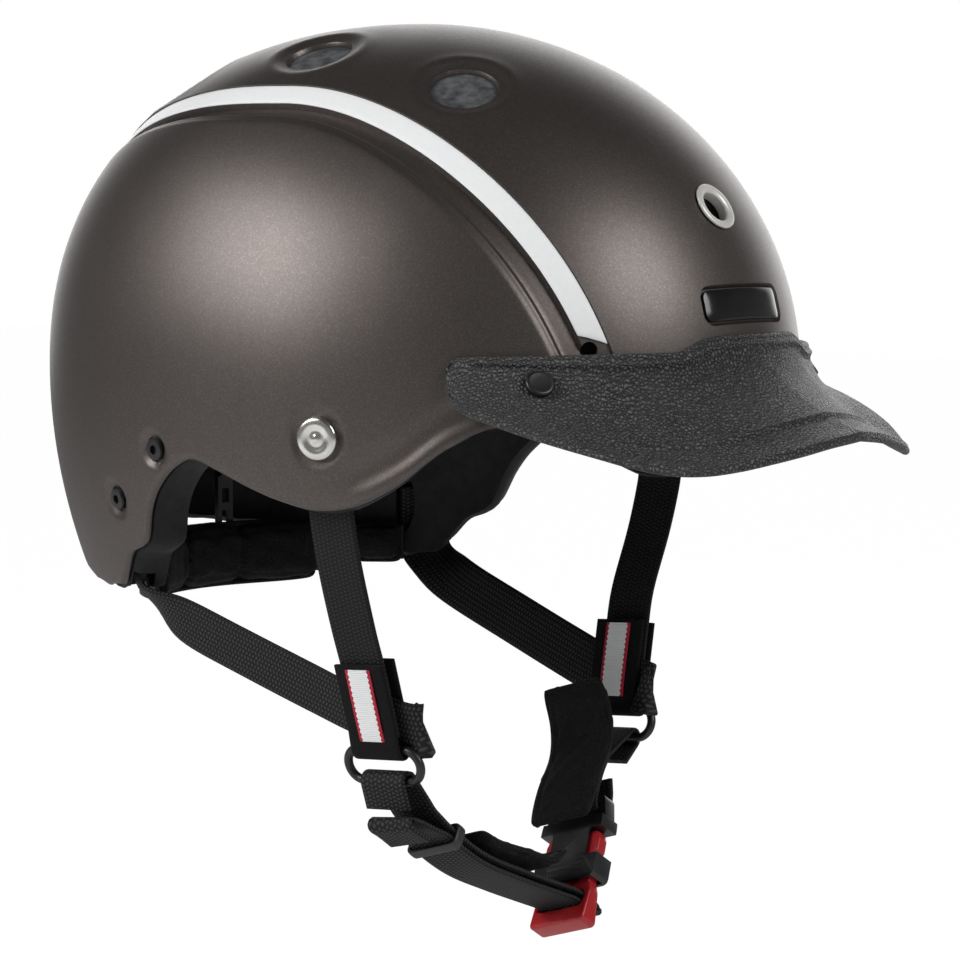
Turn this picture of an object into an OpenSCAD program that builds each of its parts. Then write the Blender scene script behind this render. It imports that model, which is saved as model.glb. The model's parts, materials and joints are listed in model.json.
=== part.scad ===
/* [Shell] */
// Half width of the shell at the brow line
shell_half_width = 101; // [94:1:108]
// Half length of the shell at the brow line
shell_half_length = 127; // [120:1:134]
// Height of the crown above the brow line
crown_height = 109; // [102:1:116]
// Wall of the moulded outer shell
shell_wall = 2.4; // [2:0.2:3]
// Thickness of the foam liner away from its edge
liner_thickness = 20; // [17:1:22]

/* [Stripe and openings] */
// Width of the reflective stripe
stripe_width = 7.4; // [5:0.2:8]
// Depth of the valley beside each stripe
groove_depth = 3; // [2:0.2:3.4]
// Bore of each top vent
vent_bore = 20; // [14:1:21]
// Bore of the eyelet above the badge
eyelet_bore = 9; // [6:0.5:10]

/* [Visor] */
// How far the visor stands out in front of the shell
visor_reach = 37; // [30:1:42]
// Thickness of the flexible visor
visor_thickness = 2.6; // [2:0.2:3]

/* [Harness] */
// Width of the harness webbing
webbing_width = 17; // [15:0.5:17.5]
// Thickness of the harness webbing
webbing_thickness = 1.6; // [1.2:0.1:1.8]

/* [Fit dial] */
// Diameter of the knob that draws in the fit band
dial_diameter = 20; // [18:1:22]

/* [Hidden] */

// Shared measures
shell_color = "#5f5651";
foam_color = "#3b3c3e";
plastic_color = "#232427";
webbing_color = "#1d1e20";
pad_color = "#26272a";
metal_color = "#d9d8cf";
red_color = "#c4242c";

// Small helpers
function lerp(a, b, t) = a + (b - a) * t;
function clamp(t) = max(0, min(1, t));
function smooth(t) = clamp(t) * clamp(t) * (3 - 2 * clamp(t));
function unit(a) = a / norm(a);
function segment(knots, x, i = 0) =
    i >= len(knots) - 2 || x < knots[i + 1][0] ? i : segment(knots, x, i + 1);
function slope(knots, i) =
    let (a = max(0, i - 1), b = min(len(knots) - 1, i + 1))
    (knots[b][1] - knots[a][1]) / (knots[b][0] - knots[a][0]);
// A smooth curve through knots of [place, value]
function curve_value(knots, x) =
    let (i = segment(knots, x), h = knots[i + 1][0] - knots[i][0], t = (x - knots[i][0]) / h)
    let (t2 = t * t, t3 = t2 * t)
    knots[i][1] * (2 * t3 - 3 * t2 + 1) + slope(knots, i) * h * (t3 - 2 * t2 + t)
    + knots[i + 1][1] * (3 * t2 - 2 * t3) + slope(knots, i + 1) * h * (t3 - t2);
// A smooth path through points, with a number of steps between neighbours
function path_slope(p, i) =
    let (a = max(0, i - 1), b = min(len(p) - 1, i + 1)) (p[b] - p[a]) / (b - a);
function path_point(p, i, t) =
    let (t2 = t * t, t3 = t2 * t)
    p[i] * (2 * t3 - 3 * t2 + 1) + path_slope(p, i) * (t3 - 2 * t2 + t)
    + p[i + 1] * (3 * t2 - 2 * t3) + path_slope(p, i + 1) * (t3 - t2);
function smooth_path(p, steps) = concat(
    [for (i = [0:len(p) - 2], s = [0:steps - 1]) path_point(p, i, s / steps)], [p[len(p) - 1]]);

// Meshes made from rows of points
function quad(a, b, c, d) = [[a, b, c], [a, c, d]];
// A closed sheet between two grids of rows by cols points, joined at the rim. Seen from outside,
// the columns of the first grid run to the right and its rows run down.
function sheet_faces(rows, cols) =
    let (n = rows * cols)
    [
        for (i = [0:rows - 2], j = [0:cols - 2]) let (a = i * cols + j)
            each quad(a, a + 1, a + cols + 1, a + cols),
        for (i = [0:rows - 2], j = [0:cols - 2]) let (a = n + i * cols + j)
            each quad(a, a + cols, a + cols + 1, a + 1),
        for (i = [0:rows - 2]) let (a = i * cols) each quad(a, a + cols, n + a + cols, n + a),
        for (i = [0:rows - 2]) let (a = i * cols + cols - 1)
            each quad(a, n + a, n + a + cols, a + cols),
        for (j = [0:cols - 2]) each quad(j, n + j, n + j + 1, j + 1),
        for (j = [0:cols - 2]) let (a = (rows - 1) * cols + j) each quad(a, a + 1, n + a + 1, n + a)
    ];
module sheet(first, second, rows, cols) {
    polyhedron(concat(first, second), sheet_faces(rows, cols), convexity = 6);
}
// A closed bar: rings of points, each ring with the same number of sides
function bar_faces(rings, sides) = [
    [for (k = [0:sides - 1]) k],
    [for (k = [0:sides - 1]) (rings - 1) * sides + sides - 1 - k],
    for (i = [0:rings - 2], k = [0:sides - 1])
        let (a = i * sides + k, b = i * sides + (k + 1) % sides)
        each quad(a, a + sides, b + sides, b)
];
// Flat webbing swept along a path; across is the direction of its width at each point
module webbing(path, across, width = webbing_width, thick = webbing_thickness) {
    last = len(path) - 1;
    corners = [for (i = [0:last])
        let (t = unit(path[min(i + 1, last)] - path[max(i - 1, 0)]))
        let (w = unit(across[i] - (across[i] * t) * t), n = cross(t, w))
        each [
            path[i] + w * width / 2 + n * thick / 2, path[i] - w * width / 2 + n * thick / 2,
            path[i] - w * width / 2 - n * thick / 2, path[i] + w * width / 2 - n * thick / 2
        ]];
    polyhedron(corners, bar_faces(last + 1, 4), convexity = 4);
}

// The dome. A chart lays it out flat: a chart point's distance from [0, 0] is the angle down
// from the crown, its direction is the way round, and [0, -1] points to the front.
drop_per_degree = 1.9;
tuck = 0.10;
tuck_depth = 65;
front_power = 2.0;
rear_power = 2.2;
function dome(c, inset) =
    let (psi = max(0.01, norm(c)), s = norm(c) < 0.01 ? [0, 1] : c / norm(c))
    let (n = lerp(front_power, rear_power, smooth(0.5 + s[1])))
    let (r = pow(pow(abs(s[0]) / (shell_half_width - inset), n)
        + pow(abs(s[1]) / (shell_half_length - inset), n), -1 / n))
    let (drop = (psi - 90) * drop_per_degree)
    let (k = psi <= 90 ? pow(sin(psi), 2 / n) : 1 - tuck * pow(drop / tuck_depth, 2))
    [r * k * s[0], r * k * s[1],
        psi <= 90 ? (crown_height - inset) * pow(cos(psi), 2 / n) : -drop];
function dome_normal(c) =
    let (d = 0.5)
    let (a = dome(c + [d, 0], 0) - dome(c - [d, 0], 0), b = dome(c + [0, d], 0) - dome(c - [0, d], 0))
    unit(cross(a, b));
// A chart point from the turn round from the front and the angle down from the crown
function chart(turn, angle) = angle * [sin(turn), -cos(turn)];
// Puts a piece on the dome, its Z axis pointing straight out
module on_dome(turn, angle, inset = 0) {
    c = chart(turn, angle);
    n = dome_normal(c);
    translate(dome(c, 0) - n * inset) rotate([0, acos(n[2]), atan2(n[1], n[0])]) children();
}
// Places on both sides, right side first
module both_sides(turn, angle, inset = 0) {
    for (side = [-1, 1]) on_dome(side * turn, angle, inset) children();
}

// The rim, as [turn round from the front, height]: brow, front lobe, ear arch, rear corner, nape
rim_heights = [
    [0, -10], [40, -12.5], [48, -18], [56, -29], [64, -36], [70, -37.5], [78, -35],
    [85, -31], [91, -27], [97, -24], [102, -27], [107, -34], [110, -41], [112.5, -50],
    [115, -53], [119, -56], [122.5, -62], [126, -67], [132, -68], [142, -65.5],
    [158, -58], [180, -52]
];
function rim_angle(c, extra) =
    90 + (extra - curve_value(rim_heights, min(179.9, atan2(abs(c[0]), -c[1])))) / drop_per_degree;
// Lanes run from the brow to the nape; one of them follows each stripe
front_corner_turn = 40;
rear_corner_turn = 126;
stripe_front = -88.5;
stripe_rear = 115.9;
function stripe_reach(y) =
    y < 2 ? 38.2 - 1.6 * pow((y - 2) / 77, 2) : 38.2 - 22 * smooth((y - 2) / 70);
function stripe_chart(v) = let (y = lerp(stripe_front, stripe_rear, v)) [stripe_reach(y), y];
// A chart point moved sideways by a distance along the shell
function beside(c, d) = c + [d / norm(dome(c + [0.5, 0], 0) - dome(c - [0.5, 0], 0)), 0];
function valley_width(v) = lerp(6, 2.4, smooth(v * 1.4));
function valley_fade(v) = smooth((0.88 - v) / 0.1);
half_stripe = stripe_width / 2 + 0.1;
stripe_seat = 0.9;
// Each lane is [kind, place, depth]: between the middle and the stripe, a distance from the
// stripe's middle, a distance past the valley, or between the valley and the rim
shell_lanes = [
    ["inner", 0, 0], ["inner", 0.25, 0], ["inner", 0.5, 0], ["inner", 0.75, 0],
    ["beside", -half_stripe - 0.2, 0], ["beside", -half_stripe, stripe_seat],
    ["beside", half_stripe, stripe_seat + 0.3], ["beside", half_stripe + 0.6, groove_depth],
    ["valley", 0, groove_depth * 0.75], ["valley", 2, groove_depth * 0.2], ["valley", 5, 0],
    ["outer", 0.14, 0], ["outer", 0.28, 0], ["outer", 0.42, 0], ["outer", 0.56, 0],
    ["outer", 0.7, 0], ["outer", 0.85, 0], ["outer", 1, 0]
];
liner_lanes = [
    ["inner", 0, 0], ["inner", 0.45, 0], ["inner", 0.8, 0],
    ["beside", -half_stripe - 3, 0], ["beside", -half_stripe, groove_depth],
    ["valley", 4, groove_depth], ["valley", 8, 0],
    ["outer", 0.18, 0], ["outer", 0.36, 0], ["outer", 0.54, 0], ["outer", 0.7, 0],
    ["outer", 0.85, 0], ["outer", 1, 0]
];
function lane_chart(lane, v, extra) =
    let (k = stripe_chart(v), middle = [0, lerp(-1, 1, v)])
    let (edge_turn = lerp(front_corner_turn, rear_corner_turn, v))
    let (near = beside(k, -half_stripe - 0.2))
    let (far = beside(k, half_stripe + 0.6 + valley_width(v)))
    let (edge = [sin(edge_turn), -cos(edge_turn)])
    let (q = lane[0] == "inner" ? lerp(middle, near / rim_angle(near, extra), lane[1])
        : lane[0] == "beside" ? beside(k, lane[1]) / rim_angle(k, extra)
        : lane[0] == "valley" ? beside(far, lane[1]) / rim_angle(far, extra)
        : lerp(beside(far, 5) / rim_angle(far, extra), edge, lane[1]))
    let (p = lerp(q, q / max(0.001, norm(q)), pow(abs(2 * v - 1), 12)))
    p * rim_angle(p, extra);
// How near a chart point is to the rim: 0 over most of the dome, 1 at the rim
function rim_nearness(c, extra) = smooth((norm(c) / rim_angle(c, extra) - 0.8) / 0.2);
function dome_grid(lanes, rows, extra, inset, thin) = [
    for (i = [0:rows], j = [1 - len(lanes):len(lanes) - 1])
        let (lane = lanes[abs(j)], v = i / rows, c = lane_chart(lane, v, extra))
        let (depth = inset - thin * rim_nearness(c, extra) + lane[2] * valley_fade(v))
        dome([(j < 0 ? -1 : 1) * c[0], c[1]], depth)];

// Vents: three pairs on top, as [turn round from the front, angle from the crown]
vent_places = [[41, 35], [100, 24], [150, 35]];
vent_dish_bore = vent_bore + 11;
vent_dish_depth = 2.2;
eyelet_angle = 61.5;
badge_angle = 77.6;
badge_size = [9.4, 26.4];
badge_seat = 1.6;
rivet_turn = 69.7;
rivet_angle = 98.4;
rivet_diameter = 13;
screw_places = [[106, 101.6], [118.8, 110.4]];
visor_pin_turn = 35;
visor_pin_angle = 89.5;
groove_hole_place = [27.6, 84.3];

// Cutter for a vent: a bore and a shallow dish with a rounded lip
module vent_cutter() {
    lip = 4.9;
    rotate_extrude($fn = 48)
        polygon(concat(
            [[0, -30], [vent_bore / 2, -30], [vent_bore / 2, -vent_dish_depth - 0.4]],
            [for (a = [0:15:60])
                [vent_dish_bore / 2 - lip * (1 - sin(a)), -vent_dish_depth * cos(a) * 0.9]],
            [[vent_dish_bore / 2 + 0.5, 0.6], [vent_dish_bore / 2 + 0.5, 6], [0, 6]]));
}
module rounded_plate(size, radius, height) {
    linear_extrude(height) hull()
        for (x = [-1, 1], y = [-1, 1])
            translate([x * (size[0] / 2 - radius), y * (size[1] / 2 - radius)])
            circle(r = radius, $fn = 24);
}

// Outer shell: a raised centre panel between two grooves, open for the vents, arched over the ears
shell_rows = 36;
module outer_shell() {
    cols = 2 * len(shell_lanes) - 1;
    color(shell_color)
    difference() {
        sheet(dome_grid(shell_lanes, shell_rows, 0, shell_wall, 0),
            dome_grid(shell_lanes, shell_rows, 0, 0, 0), shell_rows + 1, cols);
        for (place = vent_places) both_sides(place[0], place[1]) vent_cutter();
        on_dome(0, eyelet_angle) translate([0, 0, -9]) cylinder(d = eyelet_bore + 2.4, h = 18, $fn = 40);
        on_dome(0, badge_angle, badge_seat) rounded_plate(badge_size + [1, 1], 2.5, 8);
        both_sides(rivet_turn, rivet_angle) {
            translate([0, 0, -9]) cylinder(d = 4.2, h = 18, $fn = 24);
            translate([0, 0, -0.9])
                cylinder(d1 = rivet_diameter + 1.6, d2 = rivet_diameter + 5.6, h = 2, $fn = 40);
        }
        for (place = screw_places) both_sides(place[0], place[1]) {
            translate([0, 0, -9]) cylinder(d = 3.4, h = 18, $fn = 24);
            translate([0, 0, -1.4]) cylinder(d1 = 7.4, d2 = 10.4, h = 3, $fn = 32);
        }
        both_sides(visor_pin_turn, visor_pin_angle)
            translate([0, 0, -9]) cylinder(d = 4.4, h = 18, $fn = 24);
        both_sides(groove_hole_place[0], groove_hole_place[1])
            translate([0, 0, -9]) cylinder(d = 5, h = 18, $fn = 32);
    }
}

// Foam liner: fills the shell and holds the head off it
liner_rows = 26;
liner_inset = shell_wall + 0.6;
liner_edge_thin = 8;
liner_overhang = 1;
head_inset = liner_inset + liner_thickness;
// A point on the foam's head side, lifted towards the head
function head_side(c, lift) =
    dome(c, head_inset - liner_edge_thin * rim_nearness(c, liner_overhang) + lift);
module impact_liner() {
    cols = 2 * len(liner_lanes) - 1;
    bare_lanes = [for (lane = liner_lanes) [lane[0], lane[1], 0]];
    color(foam_color)
    difference() {
        sheet(dome_grid(bare_lanes, liner_rows, liner_overhang, head_inset, liner_edge_thin),
            dome_grid(liner_lanes, liner_rows, liner_overhang, liner_inset, 0),
            liner_rows + 1, cols);
        for (place = vent_places) both_sides(place[0], place[1])
            translate([0, 0, -liner_thickness - 14])
            cylinder(d = vent_bore + 1, h = liner_thickness + 20, $fn = 48);
        on_dome(0, eyelet_angle) translate([0, 0, -liner_thickness - 14])
            cylinder(d = eyelet_bore + 4, h = liner_thickness + 20, $fn = 40);
        both_sides(rivet_turn, rivet_angle)
            translate([0, 0, -rivet_length - 0.6]) cylinder(d = 9.6, h = rivet_length + 6, $fn = 32);
        for (place = screw_places) both_sides(place[0], place[1])
            translate([0, 0, -9.5]) cylinder(d = 8.4, h = 12, $fn = 32);
        both_sides(visor_pin_turn, visor_pin_angle)
            translate([0, 0, -12]) cylinder(d = 9, h = 14, $fn = 32);
        for (side = [-1, 1]) {
            front_end_place(side) cube([webbing_thickness + 1, webbing_width + 1.4, 60], center = true);
            rear_end_place(side) cube([webbing_thickness + 5.4, webbing_width + 2.6, 44], center = true);
        }
        cradle_place() bracket_socket();
    }
}

// Reflective stripe: seated in the groove, from above the visor to the back of the crown
stripe_start = 0.055;
stripe_end = 0.80;
stripe_rows = 30;
module stripe() {
    lanes = [for (k = [-1, 0, 1]) ["beside", k * (half_stripe - 0.1), stripe_seat + 0.15 + 0.15 * k]];
    function rows_at(lift) = [for (i = [0:stripe_rows], lane = lanes)
        let (v = lerp(stripe_start, stripe_end, i / stripe_rows))
        dome(lane_chart(lane, v, 0), lane[2] * valley_fade(v) - lift)];
    sheet(rows_at(0.12), rows_at(0.72), stripe_rows + 1, 3);
}
module stripe_left() { color("#e4e7e6") stripe(); }
module stripe_right() { color("#e4e7e6") mirror([1, 0, 0]) stripe(); }

// Eyelet: a rolled ring with its tube, in the vent above the badge
module front_eyelet() {
    lip = 3.1;
    tube_wall = 0.8;
    color(metal_color)
    on_dome(0, eyelet_angle) rotate_extrude($fn = 48) translate([eyelet_bore / 2, 0])
        polygon(concat(
            [[0, -7], [tube_wall, -7], [tube_wall, 0.35], [lip + 0.4, 0.35]],
            [for (a = [0:20:180]) [(lip / 2 + 0.2) * (1 + cos(a)), 0.6 + 1.1 * sin(a)]]));
}

// Badge: a bare domed plate in its recess
module badge_plate() {
    color("#17181a")
    on_dome(0, badge_angle, badge_seat - 0.05) hull() {
        rounded_plate(badge_size, 2.2, 0.8);
        rounded_plate(badge_size - [3.2, 3.2], 1.4, 2.3);
    }
}

// Visor: hugs the shell above, then flares out to its rim
visor_turn = 48.5;
visor_rows = 32;
visor_clear = 0.35;
bead_height = 0.9;
pin_seat = visor_clear + visor_thickness + 0.75;
function visor_top(t) = 8.8 + 5.4 * smooth((0.5 - abs(t)) / 0.2) - 1.2 * t * t;
function visor_low(t) = -18.5 - 20 * t * t + 38 * pow(t, 4);
function visor_round(t) = sqrt(max(0, 1 - pow(max(0, abs(t) - 0.92) / 0.08, 2)));
function height_angle(z) = z >= 0 ? acos(z / crown_height) : 90 - z / drop_per_degree;
// A visor point: t runs across from -1 to 1, s from the top edge to the rim
function visor_point(t, s, lift) =
    let (turn = t * visor_turn, around = [sin(turn), -cos(turn), 0], r = visor_round(t))
    let (top = lerp(1, visor_top(t), r), low = lerp(1, visor_low(t), r))
    let (a = dome(chart(turn, height_angle(top)), -visor_clear))
    let (bend_z = lerp(top, low, 0.55))
    let (bend = dome(chart(turn, height_angle(bend_z)), -visor_clear - 0.6))
    let (hug = dome(chart(turn, height_angle(low)), -visor_clear))
    let (reach = visor_reach * pow(max(0, 1 - t * t), 0.42))
    let (rim = [hug[0], hug[1], low] + around * reach * r)
    let (p = a * (1 - s) * (1 - s) + bend * 2 * s * (1 - s) + rim * s * s)
    let (d = (bend - a) * (1 - s) + (rim - bend) * s)
    let (side = cross([cos(turn), sin(turn), 0], unit(d + [0, 0, -0.001])))
    let (upper_bead = exp(-pow((s - 0.09) / 0.035, 2)), rim_bead = exp(-pow((s - 0.93) / 0.035, 2)))
    let (bead = bead_height * (upper_bead + 0.6 * rim_bead))
    p - side * (lift + (lift > 0 ? bead : 0));
visor_stations = [0, 0.055, 0.09, 0.125, 0.3, 0.5, 0.7, 0.87, 0.93, 1];
module visor() {
    cols = len(visor_stations);
    function grid(lift) = [for (i = [0:visor_rows], s = visor_stations)
        visor_point(lerp(-0.999, 0.999, i / visor_rows), s, lift)];
    color("#3c3e40")
    difference() {
        sheet(grid(0), grid(visor_thickness), visor_rows + 1, cols);
        both_sides(visor_pin_turn, visor_pin_angle) {
            translate([0, 0, -9]) cylinder(d = 4.6, h = 24, $fn = 24);
            translate([0, 0, pin_seat - 0.1]) cylinder(d = 10, h = 9, $fn = 32);
        }
    }
}
module visor_pins() {
    color(plastic_color)
    both_sides(visor_pin_turn, visor_pin_angle) rotate_extrude($fn = 40)
        polygon([[0, -9], [1.2, -9], [2.6, -6], [2.6, -4.2], [2.0, -3.6], [2.0, pin_seat],
            [4.6, pin_seat], [4.5, pin_seat + 0.9], [3.9, pin_seat + 1.5],
            [2.6, pin_seat + 1.9], [0, pin_seat + 2.1]]);
}

// Side rivets hold the front straps: a bare domed cap, a shank and a washer inside
rivet_length = 15.6;
module side_rivets() {
    color(metal_color)
    both_sides(rivet_turn, rivet_angle) rotate_extrude($fn = 48)
        polygon([[0, -rivet_length], [2, -rivet_length], [2, -0.85], [rivet_diameter / 2, -0.85],
            [rivet_diameter / 2, 0.1], [rivet_diameter / 2 - 0.7, 0.75],
            [rivet_diameter / 3, 1.15], [0, 1.4]]);
}
module rivet_washers() {
    color(metal_color)
    both_sides(rivet_turn, rivet_angle, 14.2) difference() {
        cylinder(d = 9, h = 1, $fn = 36);
        translate([0, 0, -1]) cylinder(d = 4.1, h = 3, $fn = 24);
    }
}

// Screws behind each ear arch, with their nuts in the foam
screw_length = 8.5;
module anchor_screws() {
    color(plastic_color)
    for (place = screw_places) both_sides(place[0], place[1]) difference() {
        union() {
            translate([0, 0, -screw_length]) cylinder(d = 3, h = screw_length - 1, $fn = 24);
            translate([0, 0, -1.4]) cylinder(d = 7, h = 1.5, $fn = 32);
        }
        translate([0, 0, -0.7]) cylinder(d = 3.4, h = 3, $fn = 6);
    }
}
module anchor_nuts() {
    color(metal_color)
    for (place = screw_places) both_sides(place[0], place[1]) translate([0, 0, -7.5]) difference() {
        cylinder(d = 6.4, h = 2.4, $fn = 6);
        translate([0, 0, -1]) cylinder(d = 3.1, h = 6, $fn = 24);
    }
}

// Comfort pads: a patch of the dome that swells away from the foam and is sewn into cells
pad_steps = 18;
pad_edge = 1.2;
pad_standoff = 1.5;
crown_standoff = 1.8;
function pad_swell(u, v, cells) =
    let (edge = (1 - pow(abs(2 * u - 1), 4)) * (1 - pow(abs(2 * v - 1), 4)))
    let (sewn = cells < 2 ? 1 : 0.5 + 0.5 * sqrt(abs(sin(180 * cells * u))))
    sqrt(max(0, edge)) * sewn;
module dome_pad(turns, angles, thick, cells, across_steps = 8) {
    steps = pad_steps * (cells > 3 ? 2 : 1);
    function grid(swollen) = [for (i = [0:steps], j = [0:across_steps])
        let (u = i / steps, v = j / across_steps)
        let (round_off = 0.16 * pow(abs(2 * u - 1), 6))
        let (angle = lerp(angles[0], angles[1], lerp(round_off, 1 - round_off, v)))
        head_side(chart(lerp(turns[0], turns[1], u), angle),
            pad_standoff + (swollen ? pad_edge + thick * pad_swell(u, v, cells) : 0))];
    sheet(grid(true), grid(false), steps + 1, across_steps + 1);
}
module brow_pad() {
    color(pad_color) dome_pad([62, -62], [92, 76], 7, 5);
}
module side_pads() {
    color(pad_color) for (side = [-1, 1])
        dome_pad([side * 85 + 14, side * 85 - 14], [88, 64], 6, 2, 6);
}
module crown_pad() {
    length_steps = 20;
    width_steps = 10;
    function grid(swollen) = [for (i = [0:length_steps], j = [0:width_steps])
        let (u = i / length_steps, v = j / width_steps, waist = 1 - 0.3 * pow(abs(2 * u - 1), 4))
        head_side([lerp(-15, 15, v) * waist, lerp(-44, 30, u)],
            crown_standoff + (swollen ? pad_edge + 6 * pad_swell(u, v, 3) : 0))];
    color(pad_color) sheet(grid(true), grid(false), length_steps + 1, width_steps + 1);
}

// Where the straps leave the foam, right side; the left side is its mirror image
front_exit = [85, -32, -39.4];
rear_exit = [72.5, 57, -66];
front_end_lean = 4;
rear_end_turn = 52;
module front_end_place(side) {
    translate([side * front_exit[0], front_exit[1], front_exit[2]])
        rotate([0, side * front_end_lean, 0]) children();
}
module rear_end_place(side) {
    translate([side * rear_exit[0], rear_exit[1], rear_exit[2]])
        rotate([0, 0, side * (90 - rear_end_turn)]) children();
}
module front_strap_ends() {
    color(webbing_color) for (side = [-1, 1]) difference() {
        front_end_place(side) translate([0, 0, 14.5])
            cube([webbing_thickness, webbing_width, 27], center = true);
        on_dome(side * rivet_turn, rivet_angle, 14.2) translate([0, 0, -8])
            cylinder(d = 4.3, h = 24, $fn = 24);
    }
}
module rear_strap_ends() {
    color(webbing_color) for (side = [-1, 1]) rear_end_place(side)
        translate([0, 0, 12.8]) cube([webbing_thickness, webbing_width, 14.4], center = true);
}

// Nape cradle: arcs about one upright axis, so that the fit band can slide round in it
cradle_center = [0, 28, -66];
cradle_radius = 66;
cradle_hinge = [0, 96.5, -33];
hanger_spread = 11;
hanger_turn = 9.4;
module cradle_place() { translate(cradle_hinge) children(); }
module cradle_arc(radius, thick, height, turn) {
    translate(cradle_center - [0, 0, height / 2]) rotate([0, 0, 90 - turn])
        rotate_extrude(angle = 2 * turn, $fn = 160) translate([radius, 0]) square([thick, height]);
}
module bracket_socket() {
    translate([0, 4.5, 0]) cube([32, 7, 11], center = true);
}
// Bracket let into the foam, with two ears for the hinge pins
module cradle_bracket() {
    color(plastic_color)
    cradle_place() difference() {
        union() {
            translate([0, 5.8, 0]) cube([31, 4.2, 10], center = true);
            for (x = [-hanger_spread - 3.6, hanger_spread + 3.6]) hull() {
                translate([x, 3.8, 0]) cube([2.4, 1, 8], center = true);
                translate([x, 0, 0]) rotate([0, 90, 0])
                    cylinder(d = 6, h = 2.4, center = true, $fn = 32);
            }
        }
        rotate([0, 90, 0]) cylinder(d = 3.06, h = 60, center = true, $fn = 32);
    }
}
// Cradle frame: a slotted arc with two hangers that turn on the bracket
frame_thick = 2.2;
frame_height = 15;
frame_turn = 40;
frame_radius = cradle_radius + 0.4;
module hanger_strip_place(side) {
    translate(cradle_center + [0, 0, 15.5]) rotate([0, 0, -side * hanger_turn])
        translate([0, frame_radius + 1.05, 0]) children();
}
module cradle_frame() {
    color(plastic_color)
    difference() {
        union() {
            cradle_arc(frame_radius, frame_thick, frame_height, frame_turn);
            for (side = [-1, 1]) {
                hanger_strip_place(side) cube([6.4, 1.8, 21], center = true);
                hull() {
                    hanger_strip_place(side) translate([0, 0, 9]) cube([3.8, 1.7, 2], center = true);
                    translate(cradle_hinge + [side * hanger_spread, 0, 0]) rotate([0, 90, 0])
                        cylinder(d = 6, h = 4.4, center = true, $fn = 32);
                }
            }
            translate(cradle_hinge) rotate([0, 90, 0]) cylinder(d = 3, h = 32, center = true, $fn = 32);
        }
        for (turn = [-32, -24, 24, 32]) translate(cradle_center) rotate([0, 0, turn])
            translate([0, cradle_radius, 0]) rotate([90, 0, 0])
            linear_extrude(12, center = true) hull()
            for (x = [-2.4, 2.4]) translate([x, 0]) circle(d = 4, $fn = 24);
        for (side = [-1, 1], z = [-3.4, 4]) hanger_strip_place(side) translate([0, 0, z])
            cube([3, 12, 4.8], center = true);
        translate([0, cradle_center[1] + cradle_radius, cradle_center[2]]) rotate([90, 0, 0])
            cylinder(d = 3.14, h = 20, center = true, $fn = 32);
    }
}
// Nape pad: a crowned cushion on the inside of the frame, sewn into three cells
nape_pad_turn = 38;
module arc_pad(turns, radius, thick, height, cells, steps = 24, rows = 8) {
    function grid(swollen) = [for (i = [0:steps], j = [0:rows])
        let (u = i / steps, v = j / rows, a = 90 - lerp(turns[0], turns[1], u))
        let (r = radius - (swollen ? pad_edge + thick * pad_swell(u, v, cells) : 0))
        let (tall = height * (1 - 0.12 * pow(abs(2 * u - 1), 6)))
        cradle_center + [r * cos(a), r * sin(a), (v - 0.5) * tall]];
    sheet(grid(true), grid(false), steps + 1, rows + 1);
}
module nape_pad() {
    color(pad_color) arc_pad([-nape_pad_turn, nape_pad_turn], cradle_radius, 6, 20, 3);
}

// Fit dial: a knob and a pinion that draw two toothed bands round the cradle
tooth_module = 1;
pinion_teeth = 10;
tooth_thick = 1.35;
pinion_radius = tooth_module * pinion_teeth / 2;
dial_y = cradle_center[1] + frame_radius + frame_thick;
band_radius = frame_radius + frame_thick + 0.3;
band_thick = 1.5;
band_reach = 64;
housing_depth = 3.9;
knob_depth = 7;
module dial_axis(y) {
    translate([0, y, cradle_center[2]]) rotate([-90, 0, 0]) children();
}
module tooth_shape(thick) {
    polygon([[-thick * 0.7, -1.3], [-thick * 0.42, 0], [-thick * 0.2, 0.85],
        [thick * 0.2, 0.85], [thick * 0.42, 0], [thick * 0.7, -1.3]]);
}
module dial_pinion() {
    color(metal_color)
    difference() {
        dial_axis(dial_y + 0.35) {
            cylinder(r = pinion_radius - 1.1, h = 2.7, $fn = 40);
            for (k = [0:pinion_teeth - 1]) rotate(360 / pinion_teeth * (k + 0.5))
                translate([0, pinion_radius]) linear_extrude(2.7) tooth_shape(tooth_thick);
        }
        dial_axis(dial_y - 2) cylinder(d = 3.02, h = 10, $fn = 32);
    }
}
module dial_knob() {
    grips = 16;
    face_y = dial_y + housing_depth + 1.4 + 0.4;
    color(plastic_color)
    union() {
        dial_axis(face_y) difference() {
            union() {
                cylinder(d = dial_diameter - 1.6, h = knob_depth - 1, $fn = 64);
                cylinder(d1 = dial_diameter - 1.6, d2 = dial_diameter - 4, h = knob_depth, $fn = 64);
            }
            for (k = [0:grips - 1]) rotate(360 / grips * k) translate([dial_diameter / 2 + 0.3, 0, -1])
                cylinder(d = 2.8, h = knob_depth + 2, $fn = 16);
            translate([0, 0, knob_depth - 1]) cylinder(d1 = 8, d2 = 11, h = 2, $fn = 40);
        }
        dial_axis(dial_y - frame_thick + 0.3) cylinder(d = 3, h = face_y - dial_y + frame_thick, $fn = 32);
    }
}
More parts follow.
